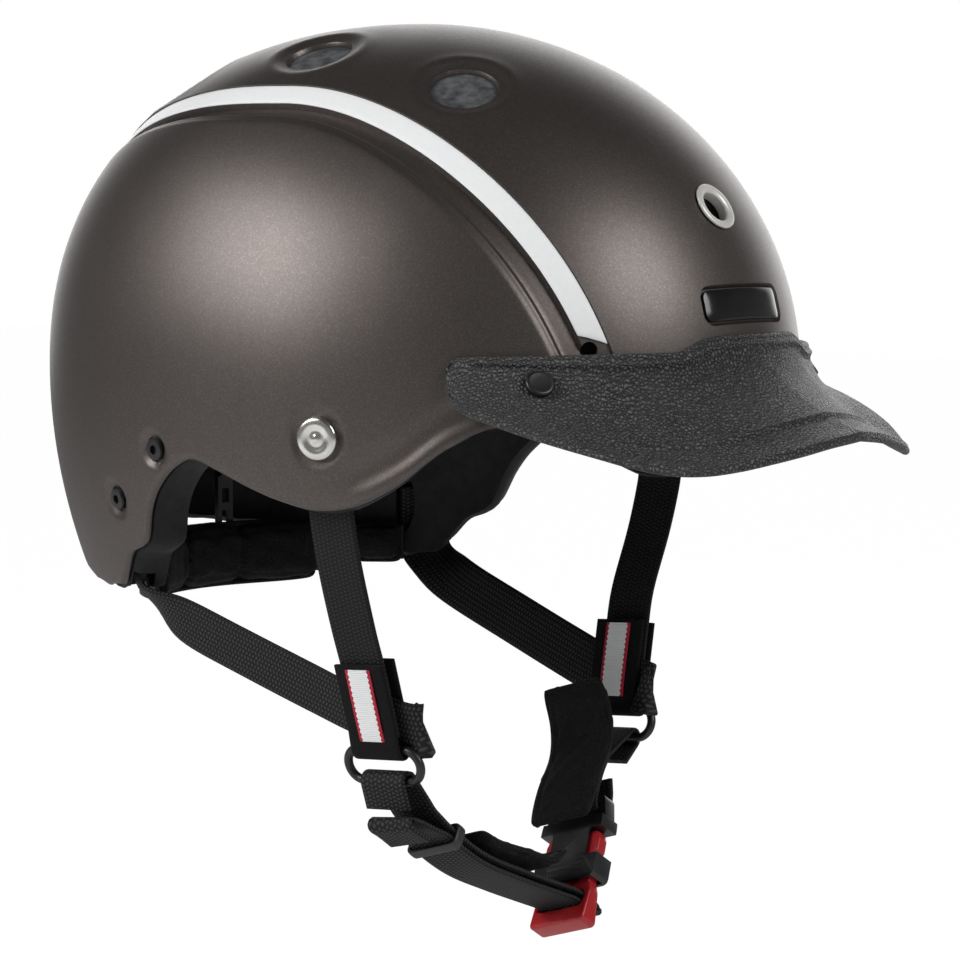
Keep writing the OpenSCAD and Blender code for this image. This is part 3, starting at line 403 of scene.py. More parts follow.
def lathe(name, profile, segments=48, matrix=None, angle=40.0):
    """A turned shape: profile points are [radius, height] in millimetres."""
    profile = np.asarray(profile, float)
    turns = np.linspace(0, 2 * math.pi, segments, endpoint=False)
    verts = np.array([[r * math.cos(t), r * math.sin(t), z] for r, z in profile for t in turns])
    faces = strip_faces(len(profile), segments, wrap_cols=True)
    obj = make_object(name, verts, faces)
    turn_outward(obj, 1e-7)
    shade(obj, angle)
    if matrix is not None:
        obj.data.transform(matrix)
    return obj


def select_only(objects):
    bpy.ops.object.select_all(action="DESELECT")
    for obj in objects:
        obj.select_set(True)
    bpy.context.view_layer.objects.active = objects[0]


def join(name, objects):
    select_only(objects)
    if len(objects) > 1:
        bpy.ops.object.join()
    objects[0].name = name
    objects[0].data.name = name
    return objects[0]


def apply_modifier(obj, kind, **settings):
    modifier = obj.modifiers.new(kind, kind)
    for key, value in settings.items():
        setattr(modifier, key, value)
    select_only([obj])
    bpy.ops.object.modifier_apply(modifier=modifier.name)
    return obj


def cut(obj, cutters):
    """Takes cutters away in one step. They must not overlap, or the overlap stays uncut."""
    tool = join("cutter", cutters)
    apply_modifier(obj, "BOOLEAN", operation="DIFFERENCE", object=tool, solver="EXACT")
    bpy.data.objects.remove(tool)
    return obj


def bore(radius, low, high, segments, matrix):
    """A round cutter from one height to another."""
    return lathe("bore", [[0, low], [radius, low], [radius, high], [0, high]], segments, matrix)


def rounded_outline(size, radius, steps=6):
    points = []
    for k, (sx, sy) in enumerate([(1, 1), (-1, 1), (-1, -1), (1, -1)]):
        for s in range(steps + 1):
            a = math.radians(90 * k + 90 * s / steps)
            points.append([sx * (size[0] / 2 - radius) + radius * math.cos(a),
                           sy * (size[1] / 2 - radius) + radius * math.sin(a)])
    return np.array(points)


def stacked(name, layers, matrix=None, angle=40.0, cap=True):
    """A shape from closed outlines at several heights: each layer is (points, height)."""
    sides = len(layers[0][0])
    verts = np.concatenate([np.column_stack([p, np.full(sides, z)]) for p, z in layers])
    faces = strip_faces(len(layers), sides, wrap_cols=True)
    if cap:
        faces += end_caps(len(layers), sides)
    obj = make_object(name, verts, faces)
    if matrix is not None:
        obj.data.transform(matrix)
    return shade(obj, angle)


# Materials
class Nodes:
    """Short calls for building a node tree."""

    def __init__(self, tree):
        self.tree = tree

    def add(self, kind, **settings):
        node = self.tree.nodes.new(kind)
        for key, value in settings.items():
            if key in node.bl_rna.properties:
                setattr(node, key, value)
            else:
                node.inputs[key.replace("_", " ")].default_value = value
        return node

    def link(self, a, b):
        self.tree.links.new(a, b)

    def ramp(self, value, stops):
        node = self.add("ShaderNodeValToRGB")
        band = node.color_ramp
        while len(band.elements) < len(stops):
            band.elements.new(0.5)
        for element, (place, color) in zip(band.elements, stops):
            element.position = place
            element.color = (color, color, color, 1) if np.isscalar(color) else (*color, 1)
        self.link(value, node.inputs["Fac"])
        return node.outputs["Color"]

    def math(self, operation, a, b=None, c=None):
        node = self.add("ShaderNodeMath", operation=operation)
        for k, value in enumerate((a, b, c)):
            if value is None:
                continue
            if isinstance(value, (int, float)):
                node.inputs[k].default_value = value
            else:
                self.link(value, node.inputs[k])
        return node.outputs[0]

    def mix(self, factor, a, b):
        node = self.add("ShaderNodeMix", data_type="RGBA")
        for socket, value in ((node.inputs[0], factor), (node.inputs[6], a), (node.inputs[7], b)):
            if isinstance(value, (int, float)):
                socket.default_value = value
            elif isinstance(value, tuple):
                socket.default_value = (*value, 1)
            else:
                self.link(value, socket)
        return node.outputs[2]


class Finish(Nodes):
    """A node tree for a new material."""

    def __init__(self, name):
        self.material = bpy.data.materials.new(name)
        self.material.use_nodes = True
        super().__init__(self.material.node_tree)
        self.shader = self.tree.nodes["Principled BSDF"]

    def blend(self, factor, a, b):
        """Two shaders mixed by a factor."""
        node = self.add("ShaderNodeMixShader")
        for socket, value in zip(node.inputs, (factor, a, b)):
            self.link(value, socket)
        return node.outputs[0]

    def place(self, scale=1.0, uv=False):
        source = self.add("ShaderNodeTexCoord").outputs["UV" if uv else "Object"]
        node = self.add("ShaderNodeMapping")
        node.inputs["Scale"].default_value = (scale, scale, scale) if np.isscalar(scale) else scale
        self.link(source, node.inputs["Vector"])
        return node.outputs["Vector"]

    def noise(self, vector, scale, detail=2.0, roughness=0.5):
        node = self.add("ShaderNodeTexNoise", Scale=scale, Detail=detail, Roughness=roughness)
        self.link(vector, node.inputs["Vector"])
        return node.outputs["Fac"]

    def cells(self, vector, scale, output="Distance", feature="F1"):
        node = self.add("ShaderNodeTexVoronoi", feature=feature, Scale=scale)
        self.link(vector, node.inputs["Vector"])
        return node.outputs[output]

    def bump(self, height, strength, distance):
        node = self.add("ShaderNodeBump", Strength=strength, Distance=distance)
        self.link(height, node.inputs["Height"])
        self.link(node.outputs["Normal"], self.shader.inputs["Normal"])

    def set(self, **values):
        for key, value in values.items():
            self.shader.inputs[key.replace("_", " ")].default_value = value

    def color(self, value):
        if isinstance(value, tuple):
            self.shader.inputs["Base Color"].default_value = (*value, 1)
        else:
            self.link(value, self.shader.inputs["Base Color"])

    def rough(self, value):
        self.link(value, self.shader.inputs["Roughness"])


def shell_material(name):
    n = Finish(name)
    p = n.place()
    spark = n.add("ShaderNodeSeparateColor")
    n.link(n.cells(p, 3600, "Color"), spark.inputs[0])
    amount = n.math("MULTIPLY", n.math("POWER", spark.outputs[0], 4.0), 0.42)
    base = n.mix(n.noise(p, 14, 3), (0.088, 0.078, 0.074), (0.104, 0.090, 0.084))
    warm = n.mix(spark.outputs[1], (0.26, 0.18, 0.13), (0.20, 0.19, 0.20))
    n.color(n.mix(amount, base, warm))
    wander = n.math("MULTIPLY_ADD", n.noise(p, 60, 4), 0.04, 0.36)
    n.rough(n.math("MULTIPLY_ADD", spark.outputs[2], 0.07, wander))
    n.set(Metallic=0.8, Coat_Weight=0.10, Coat_Roughness=0.45)
    n.bump(n.math("MULTIPLY_ADD", n.noise(p, 900, 2), 2.0, spark.outputs[0]), 0.05, 0.0002)
    return n.material


def stripe_material(name):
    n = Finish(name)
    p = n.place()
    grain = n.cells(p, 3200, "Distance")
    n.color(n.mix(n.noise(p, 700, 3), (0.86, 0.87, 0.875), (0.92, 0.93, 0.935)))
    n.rough(n.math("MULTIPLY_ADD", n.noise(p, 90, 3), 0.12, 0.40))
    n.bump(grain, 0.08, 0.0001)
    return n.material


def leather_material(name):
    n = Finish(name)
    p = n.place()
    warp = n.add("ShaderNodeVectorMath", operation="MULTIPLY_ADD")
    jitter = n.add("ShaderNodeTexNoise", Scale=520.0, Detail=2.0)
    n.link(p, jitter.inputs["Vector"])
    n.link(jitter.outputs["Color"], warp.inputs[0])
    warp.inputs[1].default_value = (0.0007, 0.0007, 0.0007)
    n.link(p, warp.inputs[2])
    pebble = n.cells(warp.outputs[0], 820, "Distance", "F1")
    crease = n.cells(warp.outputs[0], 820, "Distance", "DISTANCE_TO_EDGE")
    edge = n.ramp(crease, [(0.02, 0.0), (0.22, 0.7), (0.5, 1.0)])
    fine = n.noise(p, 2600, 3)
    # Painted light: each pebble is painted lighter in its middle, a painted highlight, and darker in
    # the creases round it, painted shade, on top of the same shape in the bump.
    pebble_painted_light = n.mix(edge, (0.010, 0.010, 0.0105), (0.150, 0.1505, 0.152))
    patch = n.ramp(n.noise(p, 30, 4), [(0.3, 0.0), (0.8, 0.5)])
    n.color(n.mix(patch, pebble_painted_light, (0.080, 0.0805, 0.0815)))
    n.rough(n.math("MULTIPLY_ADD", n.noise(p, 120, 4), 0.14, 0.40))
    height = n.math("ADD", edge, n.math("MULTIPLY_ADD", fine, 0.35, n.math("MULTIPLY", pebble, -0.5)))
    n.bump(height, 1.0, 0.0009)
    return n.material


def plastic_material(name, color, roughness=0.42, dust=0.02, bump=0.05, scale=1400):
    n = Finish(name)
    p = n.place()
    lighter = tuple(min(1.0, c + dust) for c in color)
    n.color(n.mix(n.ramp(n.noise(p, 55, 5, 0.65), [(0.45, 0.0), (0.75, 1.0)]), color, lighter))
    n.rough(n.math("MULTIPLY_ADD", n.noise(p, 160, 4), 0.16, roughness - 0.08))
    n.bump(n.noise(p, scale, 3), bump, 0.0002)
    return n.material


def metal_material(name, metallic, roughness):
    n = Finish(name)
    p = n.place()
    n.color(n.mix(n.noise(p, 220, 4), (0.80, 0.79, 0.76), (0.58, 0.57, 0.53)))
    n.rough(n.math("MULTIPLY_ADD", n.noise(p, 500, 5, 0.7), 0.18, roughness))
    n.set(Metallic=metallic)
    n.bump(n.noise(p, 1800, 4), 0.05, 0.0001)
    return n.material


def webbing_material(name, color, light, pitch=0.0016, slope=2.4):
    """Woven tape with fine ribs along it: UVs run across and along the tape in metres."""
    n = Finish(name)
    split = n.add("ShaderNodeSeparateXYZ")
    n.link(n.place(1.0, uv=True), split.inputs[0])
    across, along = split.outputs[0], split.outputs[1]
    column = n.math("DIVIDE", across, pitch)
    whole = n.math("FLOOR", column)
    cell = n.math("SUBTRACT", column, whole)
    side = n.math("MULTIPLY_ADD", n.math("FLOORED_MODULO", whole, 2.0), 2.0, -1.0)
    ribs = n.math("SINE", n.math("MULTIPLY", cell, math.pi))
    slant = n.math("MULTIPLY", n.math("MULTIPLY", cell, side), slope)
    phase = n.math("MULTIPLY_ADD", along, 2 * math.pi / (pitch * 0.8), slant)
    threads = n.math("MULTIPLY_ADD", n.math("SINE", phase), 0.5, 0.5)
    height = n.math("MULTIPLY", threads, ribs)
    fuzz = n.noise(n.place(), 3800, 3)
    mixed = n.math("MULTIPLY_ADD", fuzz, 0.3, height)
    # Painted light: the threads' raised parts are painted lighter and the hollows between them darker,
    # following the bump: a painted highlight and painted shade on the weave.
    n.color(n.mix(n.ramp(mixed, [(0.3, 0.0), (1.0, 1.0)]), color, light))
    n.set(Roughness=0.72, Specular_IOR_Level=0.32)
    n.bump(mixed, 0.5, 0.0003)
    return n.material


def cloth_material(name, color, light, scale, bump):
    n = Finish(name)
    p = n.place()
    fuzz = n.math("MULTIPLY", n.noise(p, scale * 2.4, 3), 0.6)
    weave = n.math("ADD", n.cells(p, scale, "Distance"), fuzz)
    # Painted light: the raised weave is painted lighter and its hollows darker, following the bump: a
    # painted highlight and painted shade on the cloth.
    n.color(n.mix(n.ramp(weave, [(0.3, 0.0), (1.0, 1.0)]), color, light))
    n.set(Roughness=0.9, Specular_IOR_Level=0.15, Sheen_Weight=0.04, Sheen_Roughness=0.4)
    n.bump(weave, bump, 0.0004)
    return n.material


def foam_material(name):
    n = Finish(name)
    p = n.place()
    split = n.add("ShaderNodeSeparateColor")
    n.link(n.cells(p, 430, "Color", "SMOOTH_F1"), split.inputs[0])
    patch = n.ramp(n.noise(p, 240, 4, 0.6), [(0.36, 0.0), (0.64, 1.0)])
    grey = n.mix(split.outputs[0], (0.026, 0.027, 0.029), (0.050, 0.052, 0.055))
    marbled = n.mix(patch, grey, (0.105, 0.110, 0.114))
    height = n.add("ShaderNodeSeparateXYZ")
    n.link(p, height.inputs[0])
    # Painted light: the foam is painted near black low down, painted shade inside the rim, and turns to
    # its lighter marbled grey higher up, where light falls on it from above.
    painted_light_by_height = n.ramp(n.math("MULTIPLY_ADD", height.outputs[2], 6.0, 0.3),
                       [(0.4, 0.10), (0.75, 1.0)])
    n.color(n.mix(painted_light_by_height, (0.010, 0.010, 0.011), marbled))
    n.set(Roughness=0.8, Specular_IOR_Level=0.3)
    pits = n.math("MULTIPLY", n.noise(p, 1500, 3), 0.35)
    n.bump(n.math("ADD", n.cells(p, 430, "Distance", "SMOOTH_F1"), pits), 0.18, 0.0003)
    return n.material


def label_material(name):
    n = Finish(name)
    split = n.add("ShaderNodeSeparateXYZ")
    n.link(n.place(1.0, uv=True), split.inputs[0])
    along = n.math("MULTIPLY", split.outputs[1], 2 * math.pi / 0.0017)
    wave = n.math("MULTIPLY", n.math("SINE", along), 0.0002)
    edge = n.math("ADD", n.math("ABSOLUTE", split.outputs[0]), wave)
    red = n.math("GREATER_THAN", edge, 0.0037)
    threads = n.math("SINE", n.math("MULTIPLY", split.outputs[1], 2 * math.pi / 0.0006))
    # Painted light: the white is painted lighter on the threads' raised parts and darker between them,
    # following the bump: a painted highlight and painted shade.
    white = n.mix(n.math("MULTIPLY_ADD", threads, 0.5, 0.5), (0.82, 0.83, 0.84), (0.93, 0.94, 0.94))
    n.color(n.mix(red, white, (0.45, 0.01, 0.035)))
    n.set(Roughness=0.75)
    n.bump(n.math("ADD", threads, n.noise(n.place(), 3000, 2)), 0.4, 0.0002)
    return n.material


# How each finish is made: its function, then that function's values after the name
FINISHES = {
    "shell_paint": (shell_material,),
    "reflective": (stripe_material,),
    "visor_rubber": (leather_material,),
    "black_plastic": (plastic_material, (0.009, 0.009, 0.0095), 0.38, 0.012),
    "gloss_black": (plastic_material, (0.008, 0.008, 0.009), 0.16, 0.004, 0.02),
    "red_plastic": (plastic_material, (0.40, 0.008, 0.012), 0.34, 0.02, 0.08, 900),
    "bright_metal": (metal_material, 0.96, 0.10),
    "pale_metal": (metal_material, 0.25, 0.28),
    "foam": (foam_material,),
    "webbing": (webbing_material, (0.0015, 0.0015, 0.002), (0.020, 0.020, 0.022)),
    "webbing_coarse": (webbing_material, (0.002, 0.002, 0.0025), (0.042, 0.042, 0.046)),
    "sleeve_cloth": (cloth_material, (0.0035, 0.0035, 0.004), (0.009, 0.009, 0.010), 2600, 0.35),
    "pad_cloth": (cloth_material, (0.0035, 0.0035, 0.004), (0.013, 0.013, 0.0145), 1300, 0.5),
    "ribbon": (label_material,),
    "keeper_rubber": (plastic_material, (0.014, 0.014, 0.014), 0.5, 0.015, 0.15, 700),
}
MATERIAL = {name: make(name, *values) for name, (make, *values) in FINISHES.items()}


def finish_piece(obj, material, body, nodes=()):
    obj.data.materials.clear()
    obj.data.materials.append(MATERIAL[material])
    if body:
        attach(obj, body)
    if nodes:
        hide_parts(*nodes)
    return obj


# Outer shell
SHELL_ROWS = 250
# Millimetres that the shell's edge stands over the rim's curve
SHELL_RIM = -0.9
RELIEF_REACH = {"vent": 21, "rivet": 11, "screw": 8}
VENTS = [(41, 35), (100, 24), (150, 35)]
VENT_BORE = 20.0
EYELET_ANGLE = 61.5
BADGE_ANGLE = 77.6
BADGE_SIZE = (9.4, 38.0)
BADGE_SEAT = 1.6
BADGE_BOW = 82.0
RIVET = (69.7, 98.4)
SCREWS = [(106, 101.6), (118.8, 110.4)]
PIN = (35, 89.5)
PIN_TURN = 35.8
PIN_HEIGHT = 0.6
GROOVE_HOLE = (27.6, 84.3)


def both_sides(*places):
    """Frames on the dome, right then left, for each place given as (turn, angle)."""
    return [on_dome(side * turn, angle) for turn, angle in places for side in (-1, 1)]


def dent(grid, matrix, depth_at, reach):
    """Moves the points near a place inward: depth_at gives the depth at a distance from it."""
    inverse = np.array(matrix.inverted())
    axis = np.array(matrix)[:3, 2]
    p = grid.reshape(-1, 3) * MM
    local = (p @ inverse[:3, :3].T + inverse[:3, 3]) / MM
    far = np.hypot(local[:, 0], local[:, 1])
    near = (far < reach) & (np.abs(local[:, 2]) < 25)
    moved = grid.reshape(-1, 3).copy()
    moved[near] -= axis * depth_at(far[near])[:, None]
    return moved.reshape(grid.shape)


def vent_depth(far):
    dish = 1.5 * smooth((15.4 - far) / 5.2)
    lip = 0.22 * np.exp(-((far - 16.0) / 2.2) ** 2)
    return dish - lip


def rivet_depth(far):
    return 0.9 * smooth((9.4 - far) / 2.2)


def screw_depth(far):
    return 1.4 * smooth((6.0 - far) / 2.0)


def bowed_patch(size, radius, inset, swell):
    """A grid over the badge's place that follows the dome, with a swollen middle."""
    tall, wide = size[0] / 2, size[1] / 2
    x = wide * np.sin(np.linspace(-1, 1, 61) * math.pi / 2)
    v = np.sin(np.linspace(-1, 1, 17) * math.pi / 2)
    corner = np.maximum(0, np.abs(x) - (wide - radius))
    half = tall - radius + np.sqrt(np.maximum(0, radius ** 2 - corner ** 2))
    y = v[None, :] * half[:, None]
    at = np.array(on_dome(0, BADGE_ANGLE))
    front = at[:3, 3] / MM
    sag = x ** 2 / (2 * BADGE_BOW)
    rise = swell * (1 - np.abs(v[None, :]) ** 4) * (1 - np.abs(x[:, None] / wide) ** 8)
    up = -at[:3, 0]
    patch = (front + x[:, None, None] * np.array([1.0, 0, 0]) + y[..., None] * up
             + (rise - inset - sag[:, None])[..., None] * at[:3, 2])
    return patch.transpose(1, 0, 2)


def make_shell():
    outer = dome_grid(SHELL_LANES, SHELL_STEPS, SHELL_ROWS, SHELL_RIM, 0.0, lip=True)
    inner = dome_grid(SHELL_LANES, SHELL_STEPS, SHELL_ROWS, SHELL_RIM, WALL)
    for m in both_sides(*VENTS):
        outer = dent(outer, m, vent_depth, RELIEF_REACH["vent"])
        inner = dent(inner, m, lambda far: 0.6 * vent_depth(far), RELIEF_REACH["vent"])
    for m in both_sides(RIVET):
        outer = dent(outer, m, rivet_depth, RELIEF_REACH["rivet"])
    for m in both_sides(*SCREWS):
        outer = dent(outer, m, screw_depth, RELIEF_REACH["screw"])
    shell = closed_sheet("outer_shell_skin", outer, inner, 5)
    vent = [[0, -30], [VENT_BORE / 2, -30], [VENT_BORE / 2, -3.0], [VENT_BORE / 2 + 0.7, -1.9],
            [VENT_BORE / 2 + 1.8, 6], [0, 6]]
    cutters = [lathe("vent", vent, 72, m) for m in both_sides(*VENTS)]
    cutters.append(bore(5.7, -9, 9, 48, on_dome(0, EYELET_ANGLE)))
    recess_top = bowed_patch([size + 4.6 for size in BADGE_SIZE], 4.6, -1.0, 0.0)
    recess_floor = bowed_patch([size + 1.0 for size in BADGE_SIZE], 2.8, BADGE_SEAT, 0.0)
    cutters.append(closed_sheet("recess", recess_top, recess_floor, 2, 0.0))
    cutters += [bore(2.1, -9, 9, 24, m) for m in both_sides(RIVET)]
    screw_seat = [[0, -1.9], [4.0, -1.9], [4.2, 2], [0, 2]]
    cutters += [lathe("seat", screw_seat, 40, m) for m in both_sides(*SCREWS)]
    cutters += [bore(2.5, -9, 9, 32, m) for m in both_sides(GROOVE_HOLE)]
    cut(shell, cutters)
    shade(shell, 38)
    finish_piece(shell, "shell_paint", "helmet", ["outer_shell"])


make_shell()


# Foam liner
LINER_INSET = WALL + 0.6
HEAD_INSET = LINER_INSET + 20
LINER_THIN = 8.0
LINER_ROWS = 110
LINER_RIM = 0.2
TAPE = 1.6
TAPE_WIDTH = 17.0
SLEEVE_WIDTH = 18.8
SLEEVE_THICK = 1.5
LABEL_WIDTH = 9.6
LABEL_THICK = 0.45
FRONT_EXIT = np.array([85.0, -32.0, -39.4])
REAR_EXIT = np.array([72.5, 57.0, -66.0])


def front_end_matrix(side):
    return (Matrix.Translation(mirrored(FRONT_EXIT, side) * MM)
            @ Matrix.Rotation(math.radians(side * 4), 4, "Y"))


def rear_end_matrix(side):
    return (Matrix.Translation(mirrored(REAR_EXIT, side) * MM)
            @ Matrix.Rotation(math.radians(side * 38), 4, "Z"))


def make_liner():
    outer = dome_grid(LINER_LANES, LINER_STEPS, LINER_ROWS, LINER_RIM, LINER_INSET)
    inner = dome_grid(LINER_LANES, LINER_STEPS, LINER_ROWS, LINER_RIM, HEAD_INSET, LINER_THIN,
                      bare=True)
    liner = closed_sheet("impact_liner_foam", outer, inner, 4, 0.25)
    vent = [[0, -36], [8.2, -36], [9.6, -4], [0, -4]]
    cutters = [lathe("vent", vent, 40, m) for m in both_sides(*VENTS)]
    cutters.append(bore(6.5, -36, 6, 32, on_dome(0, EYELET_ANGLE)))
    for side in (-1, 1):
        for m, size in ((front_end_matrix(side), (2.6, 18.4, 60)),
                        (rear_end_matrix(side), (TAPE + 5.4, 19.6, 44))):
            half = [s / 2 for s in size]
            corners = ((1, 1), (-1, 1), (-1, -1), (1, -1))
            square = np.array([[x * half[0], y * half[1]] for x, y in corners])
            cutters.append(stacked("slot", [(square, -half[2]), (square, half[2])], m))
    cut(liner, cutters)
    shade(liner, 38)
    finish_piece(liner, "foam", "helmet", ["impact_liner"])


make_liner()


# Reflective stripes
def make_stripe(side, node):
    rows, cols = 190, 12

    def grid(lift):
        columns = []
        for k in np.linspace(-1, 1, cols + 1):
            v = np.linspace(0.081 + 0.0078 * k, 0.80, rows + 1)
            fade = smooth((0.88 - v) / 0.1)
            c = lane_chart(("beside", k * (HALF_STRIPE - 0.1), 0), v, 0)
            crown = 0.16 * (1 - k**4)
            columns.append(dome(c, (SEAT + 0.15 + 0.15 * k) * fade - lift - crown))
        return mirrored(np.stack(columns, axis=1), side)

    outer, inner = grid(0.5), grid(0.1)
    if side < 0:
        outer, inner = outer[:, ::-1], inner[:, ::-1]
    stripe = closed_sheet(node + "_tape", outer, inner, 3, 0.8)
    shade(stripe, 50)
    finish_piece(stripe, "reflective", "helmet", [node])


make_stripe(1, "stripe_left")
make_stripe(-1, "stripe_right")


# Visor
VISOR_TURN = 48.5
VISOR_REACH = 37.0
VISOR_THICK = 2.6
VISOR_CLEAR = 0.35
# The lower edge's height for each share of the way from the middle to the end
VISOR_LOW = [[0, -16.6], [0.1, -18.0], [0.18, -19.8], [0.26, -21.6], [0.34, -23.4], [0.42, -24.5],
             [0.5, -24.1], [0.58, -22.0], [0.66, -19.0], [0.74, -16.0], [0.82, -12.9], [0.9, -9.6],
             [1, -5.6]]


def height_angle(z):
    return np.where(z >= 0, np.degrees(np.arccos(np.clip(z / CROWN, -1, 1))), 90 - z / DROP)


def visor_point(t, s, lift):
    """A point at t along the visor, -1 to 1, and s from its upper to its lower edge, 0 to 1."""
    turn = t * VISOR_TURN
    around = np.stack([np.sin(np.radians(turn)), -np.cos(np.radians(turn)), 0 * turn], axis=-1)
    r = np.cbrt(np.maximum(0, 1 - (np.maximum(0, np.abs(t) - 0.93) / 0.07) ** 3))
    top = lerp(2, 8.8 + 4.3 * smooth((0.33 - np.abs(t)) / 0.15) - 1.2 * t * t, r)
    low = lerp(2, curve_value(VISOR_LOW, np.abs(t)), r)
    a = dome(chart(turn, height_angle(top)), -VISOR_CLEAR)
    bend = dome(chart(turn, height_angle(lerp(top, low, 0.55))), -VISOR_CLEAR - 0.6)
    hug = dome(chart(turn, height_angle(low)), -VISOR_CLEAR)
    reach = VISOR_REACH * np.maximum(0, 1 - t * t) ** 0.42
    rim = np.stack([hug[..., 0], hug[..., 1], low], axis=-1) + around * (reach * r)[..., None]
    s3 = s[..., None]
    p = a * (1 - s3) ** 2 + bend * 2 * s3 * (1 - s3) + rim * s3 * s3
    d = (bend - a) * (1 - s3) + (rim - bend) * s3 + np.array([0, 0, -0.001])
    flat = np.stack([np.cos(np.radians(turn)), np.sin(np.radians(turn)), 0 * turn], axis=-1)
    side = np.cross(flat, unit(d))
    return p - side * lift[..., None], side, unit(d)


def visor_bead(s, t):
    top = 0.85 * np.exp(-((s - 0.07) / 0.032) ** 2) - 0.15 * np.exp(-((s - 0.14) / 0.022) ** 2)
    rim = 0.65 * np.exp(-((s - 0.80) / 0.016) ** 2) - 0.40 * np.exp(-((s - 0.835) / 0.016) ** 2)
    lip = 0.5 * smooth((s - 0.93) / 0.06)
    raised = (top + (rim + lip) * smooth((0.75 - np.abs(t)) / 0.3)) * smooth((0.95 - np.abs(t)) / 0.05)
    return raised - 0.8 * smooth((np.abs(t) - 0.95) / 0.045)


def make_visor():
    count = 220
    t = np.sin(np.linspace(-1, 1, count + 1) * math.pi / 2) * 0.9995
    half = VISOR_THICK / 2
    middle = np.full_like(t, half)
    edge_angles = [math.pi * k / 6 for k in range(1, 6)]
    rings = []
    for s in np.concatenate([np.linspace(0, 0.2, 26), np.linspace(0.2, 0.75, 34)[1:],
                             np.linspace(0.75, 1, 44)[1:]]):
        place = np.full_like(t, s)
        rings.append(visor_point(t, place, VISOR_THICK + visor_bead(place, t))[0])
    end, side, along = visor_point(t, np.ones_like(t), middle)
    rings += [end - side * (half * math.cos(a)) + along * (half * math.sin(a)) for a in edge_angles]
    rings += [visor_point(t, np.full_like(t, s), 0 * t)[0] for s in np.linspace(1, 0, 40)]
    start, side, along = visor_point(t, np.zeros_like(t), middle)
    rings += [start + side * (half * math.cos(a)) - along * (half * math.sin(a)) * 0.8
              for a in edge_angles]
    grid = np.stack(rings, axis=1)
    rows, cols = grid.shape[:2]
    faces = strip_faces(rows, cols, wrap_cols=True)
    verts = list(grid.reshape(-1, 3))
    for row, flip in ((0, False), (rows - 1, True)):
        verts.append(grid[row].mean(axis=0))
        c = len(verts) - 1
        for k in range(cols):
            a, b = row * cols + k, row * cols + (k + 1) % cols
            faces.append((c, a, b) if flip else (c, b, a))
    visor = make_object("visor_skin", verts, faces)
    shade(visor, 60)
    finish_piece(visor, "visor_rubber", "helmet", ["visor"])


make_visor()


# Small hardware
def on_visor(turn, z):
    """A frame on the visor's outer face at a turn and a height, its third axis outward."""
    s = np.linspace(0.05, 0.6, 56)
    face, side, _ = visor_point(np.full_like(s, turn / VISOR_TURN), s, np.full_like(s, VISOR_THICK))
    k = int(np.argmin(np.abs(face[:, 2] - z)))
    m = Vector(tuple(-side[k])).to_track_quat("Z", "Y").to_matrix().to_4x4()
    m.translation = Vector(tuple(face[k] * MM))
    return m


def hardware():
    shank = [[0, -9], [1.2, -9], [2.6, -6], [2.6, -4.2], [2.0, -3.6], [2.0, VISOR_THICK],
             [0, VISOR_THICK]]
    head = [[0, -1.2], [4.0, -1.2], [4.0, 0.25], [4.4, 0.6], [4.35, 1.5], [4.1, 1.9], [3.6, 2.1],
            [3.1, 2.0], [1.5, 1.9], [0, 1.9]]
    pins = [lathe("p", shank, 32, m, 60) for m in both_sides(PIN)]
    pins += [lathe("p", head, 48, on_visor(side * PIN_TURN, PIN_HEIGHT), 60) for side in (-1, 1)]
    finish_piece(join("visor_pin_heads", pins), "black_plastic", "helmet", ["visor_pins"])
    cap = [[0, -15.6], [2, -15.6], [2, -0.85], [6.3, -0.85], [6.5, -0.5], [6.5, 0.35], [6.2, 0.85],
           [5.6, 1.1], [4.4, 1.2], [3.9, 1.15], [3.2, 0.95], [2.0, 0.8], [1.2, 1.1], [0.6, 1.25],
           [0, 1.3]]
    caps = [lathe("r", cap, 64, m, 60) for m in both_sides(RIVET)]
    finish_piece(join("side_rivet_caps", caps), "bright_metal", "helmet", ["side_rivets"])
    ring = [[4.9, -2.6], [5.4, -2.6], [5.4, 0.2], [7.7, 0.2], [7.8, 0.5], [7.75, 0.8], [7.4, 1.05],
            [6.6, 1.12], [5.8, 1.0], [5.3, 0.75], [5.0, 0.4], [4.9, 0.0], [4.9, -2.6]]
    eyelet = lathe("front_eyelet_ring", ring, 72, on_dome(0, EYELET_ANGLE), 50)
    finish_piece(eyelet, "pale_metal", "helmet", ["front_eyelet"])
    plate = closed_sheet("badge_plate_dome", bowed_patch(BADGE_SIZE, 2.4, BADGE_SEAT - 1.2, 0.6),
                         bowed_patch(BADGE_SIZE, 2.4, BADGE_SEAT - 0.1, 0.0), 5, 0.2)
    shade(plate, 50)
    finish_piece(plate, "gloss_black", "helmet", ["badge_plate"])
    screw = [[0, -8.5], [1.5, -8.5], [1.5, -1.6], [3.5, -1.6], [3.5, -0.55], [3.2, -0.15],
             [2.6, -0.05], [0, -0.05]]
    hexagon = [[0, -1.5], [1.5, -1.5], [1.7, 2], [0, 2]]
    screws = [shade(cut(lathe("s", screw, 40, m, 50), [lathe("h", hexagon, 6, m)]), 40)
              for m in both_sides(*SCREWS)]
    finish_piece(join("anchor_screw_heads", screws), "black_plastic", "helmet", ["anchor_screws"])


hardware()


# Webbing
def section(width, thick, count=5):
    """A flat oblong with rounded edges, as [across, up] points."""
    points = []
    radius = thick / 2
    reach = width / 2 - radius
    for side in (1, -1):
        for k in range(count + 1):
            a = -math.pi / 2 + math.pi * k / count
            points.append([side * (reach + radius * math.cos(a)), side * radius * math.sin(a)])
        points += [[side * reach * f, side * radius] for f in (0.66, 0.33, 0.0, -0.33, -0.66)]
    return np.array(points)


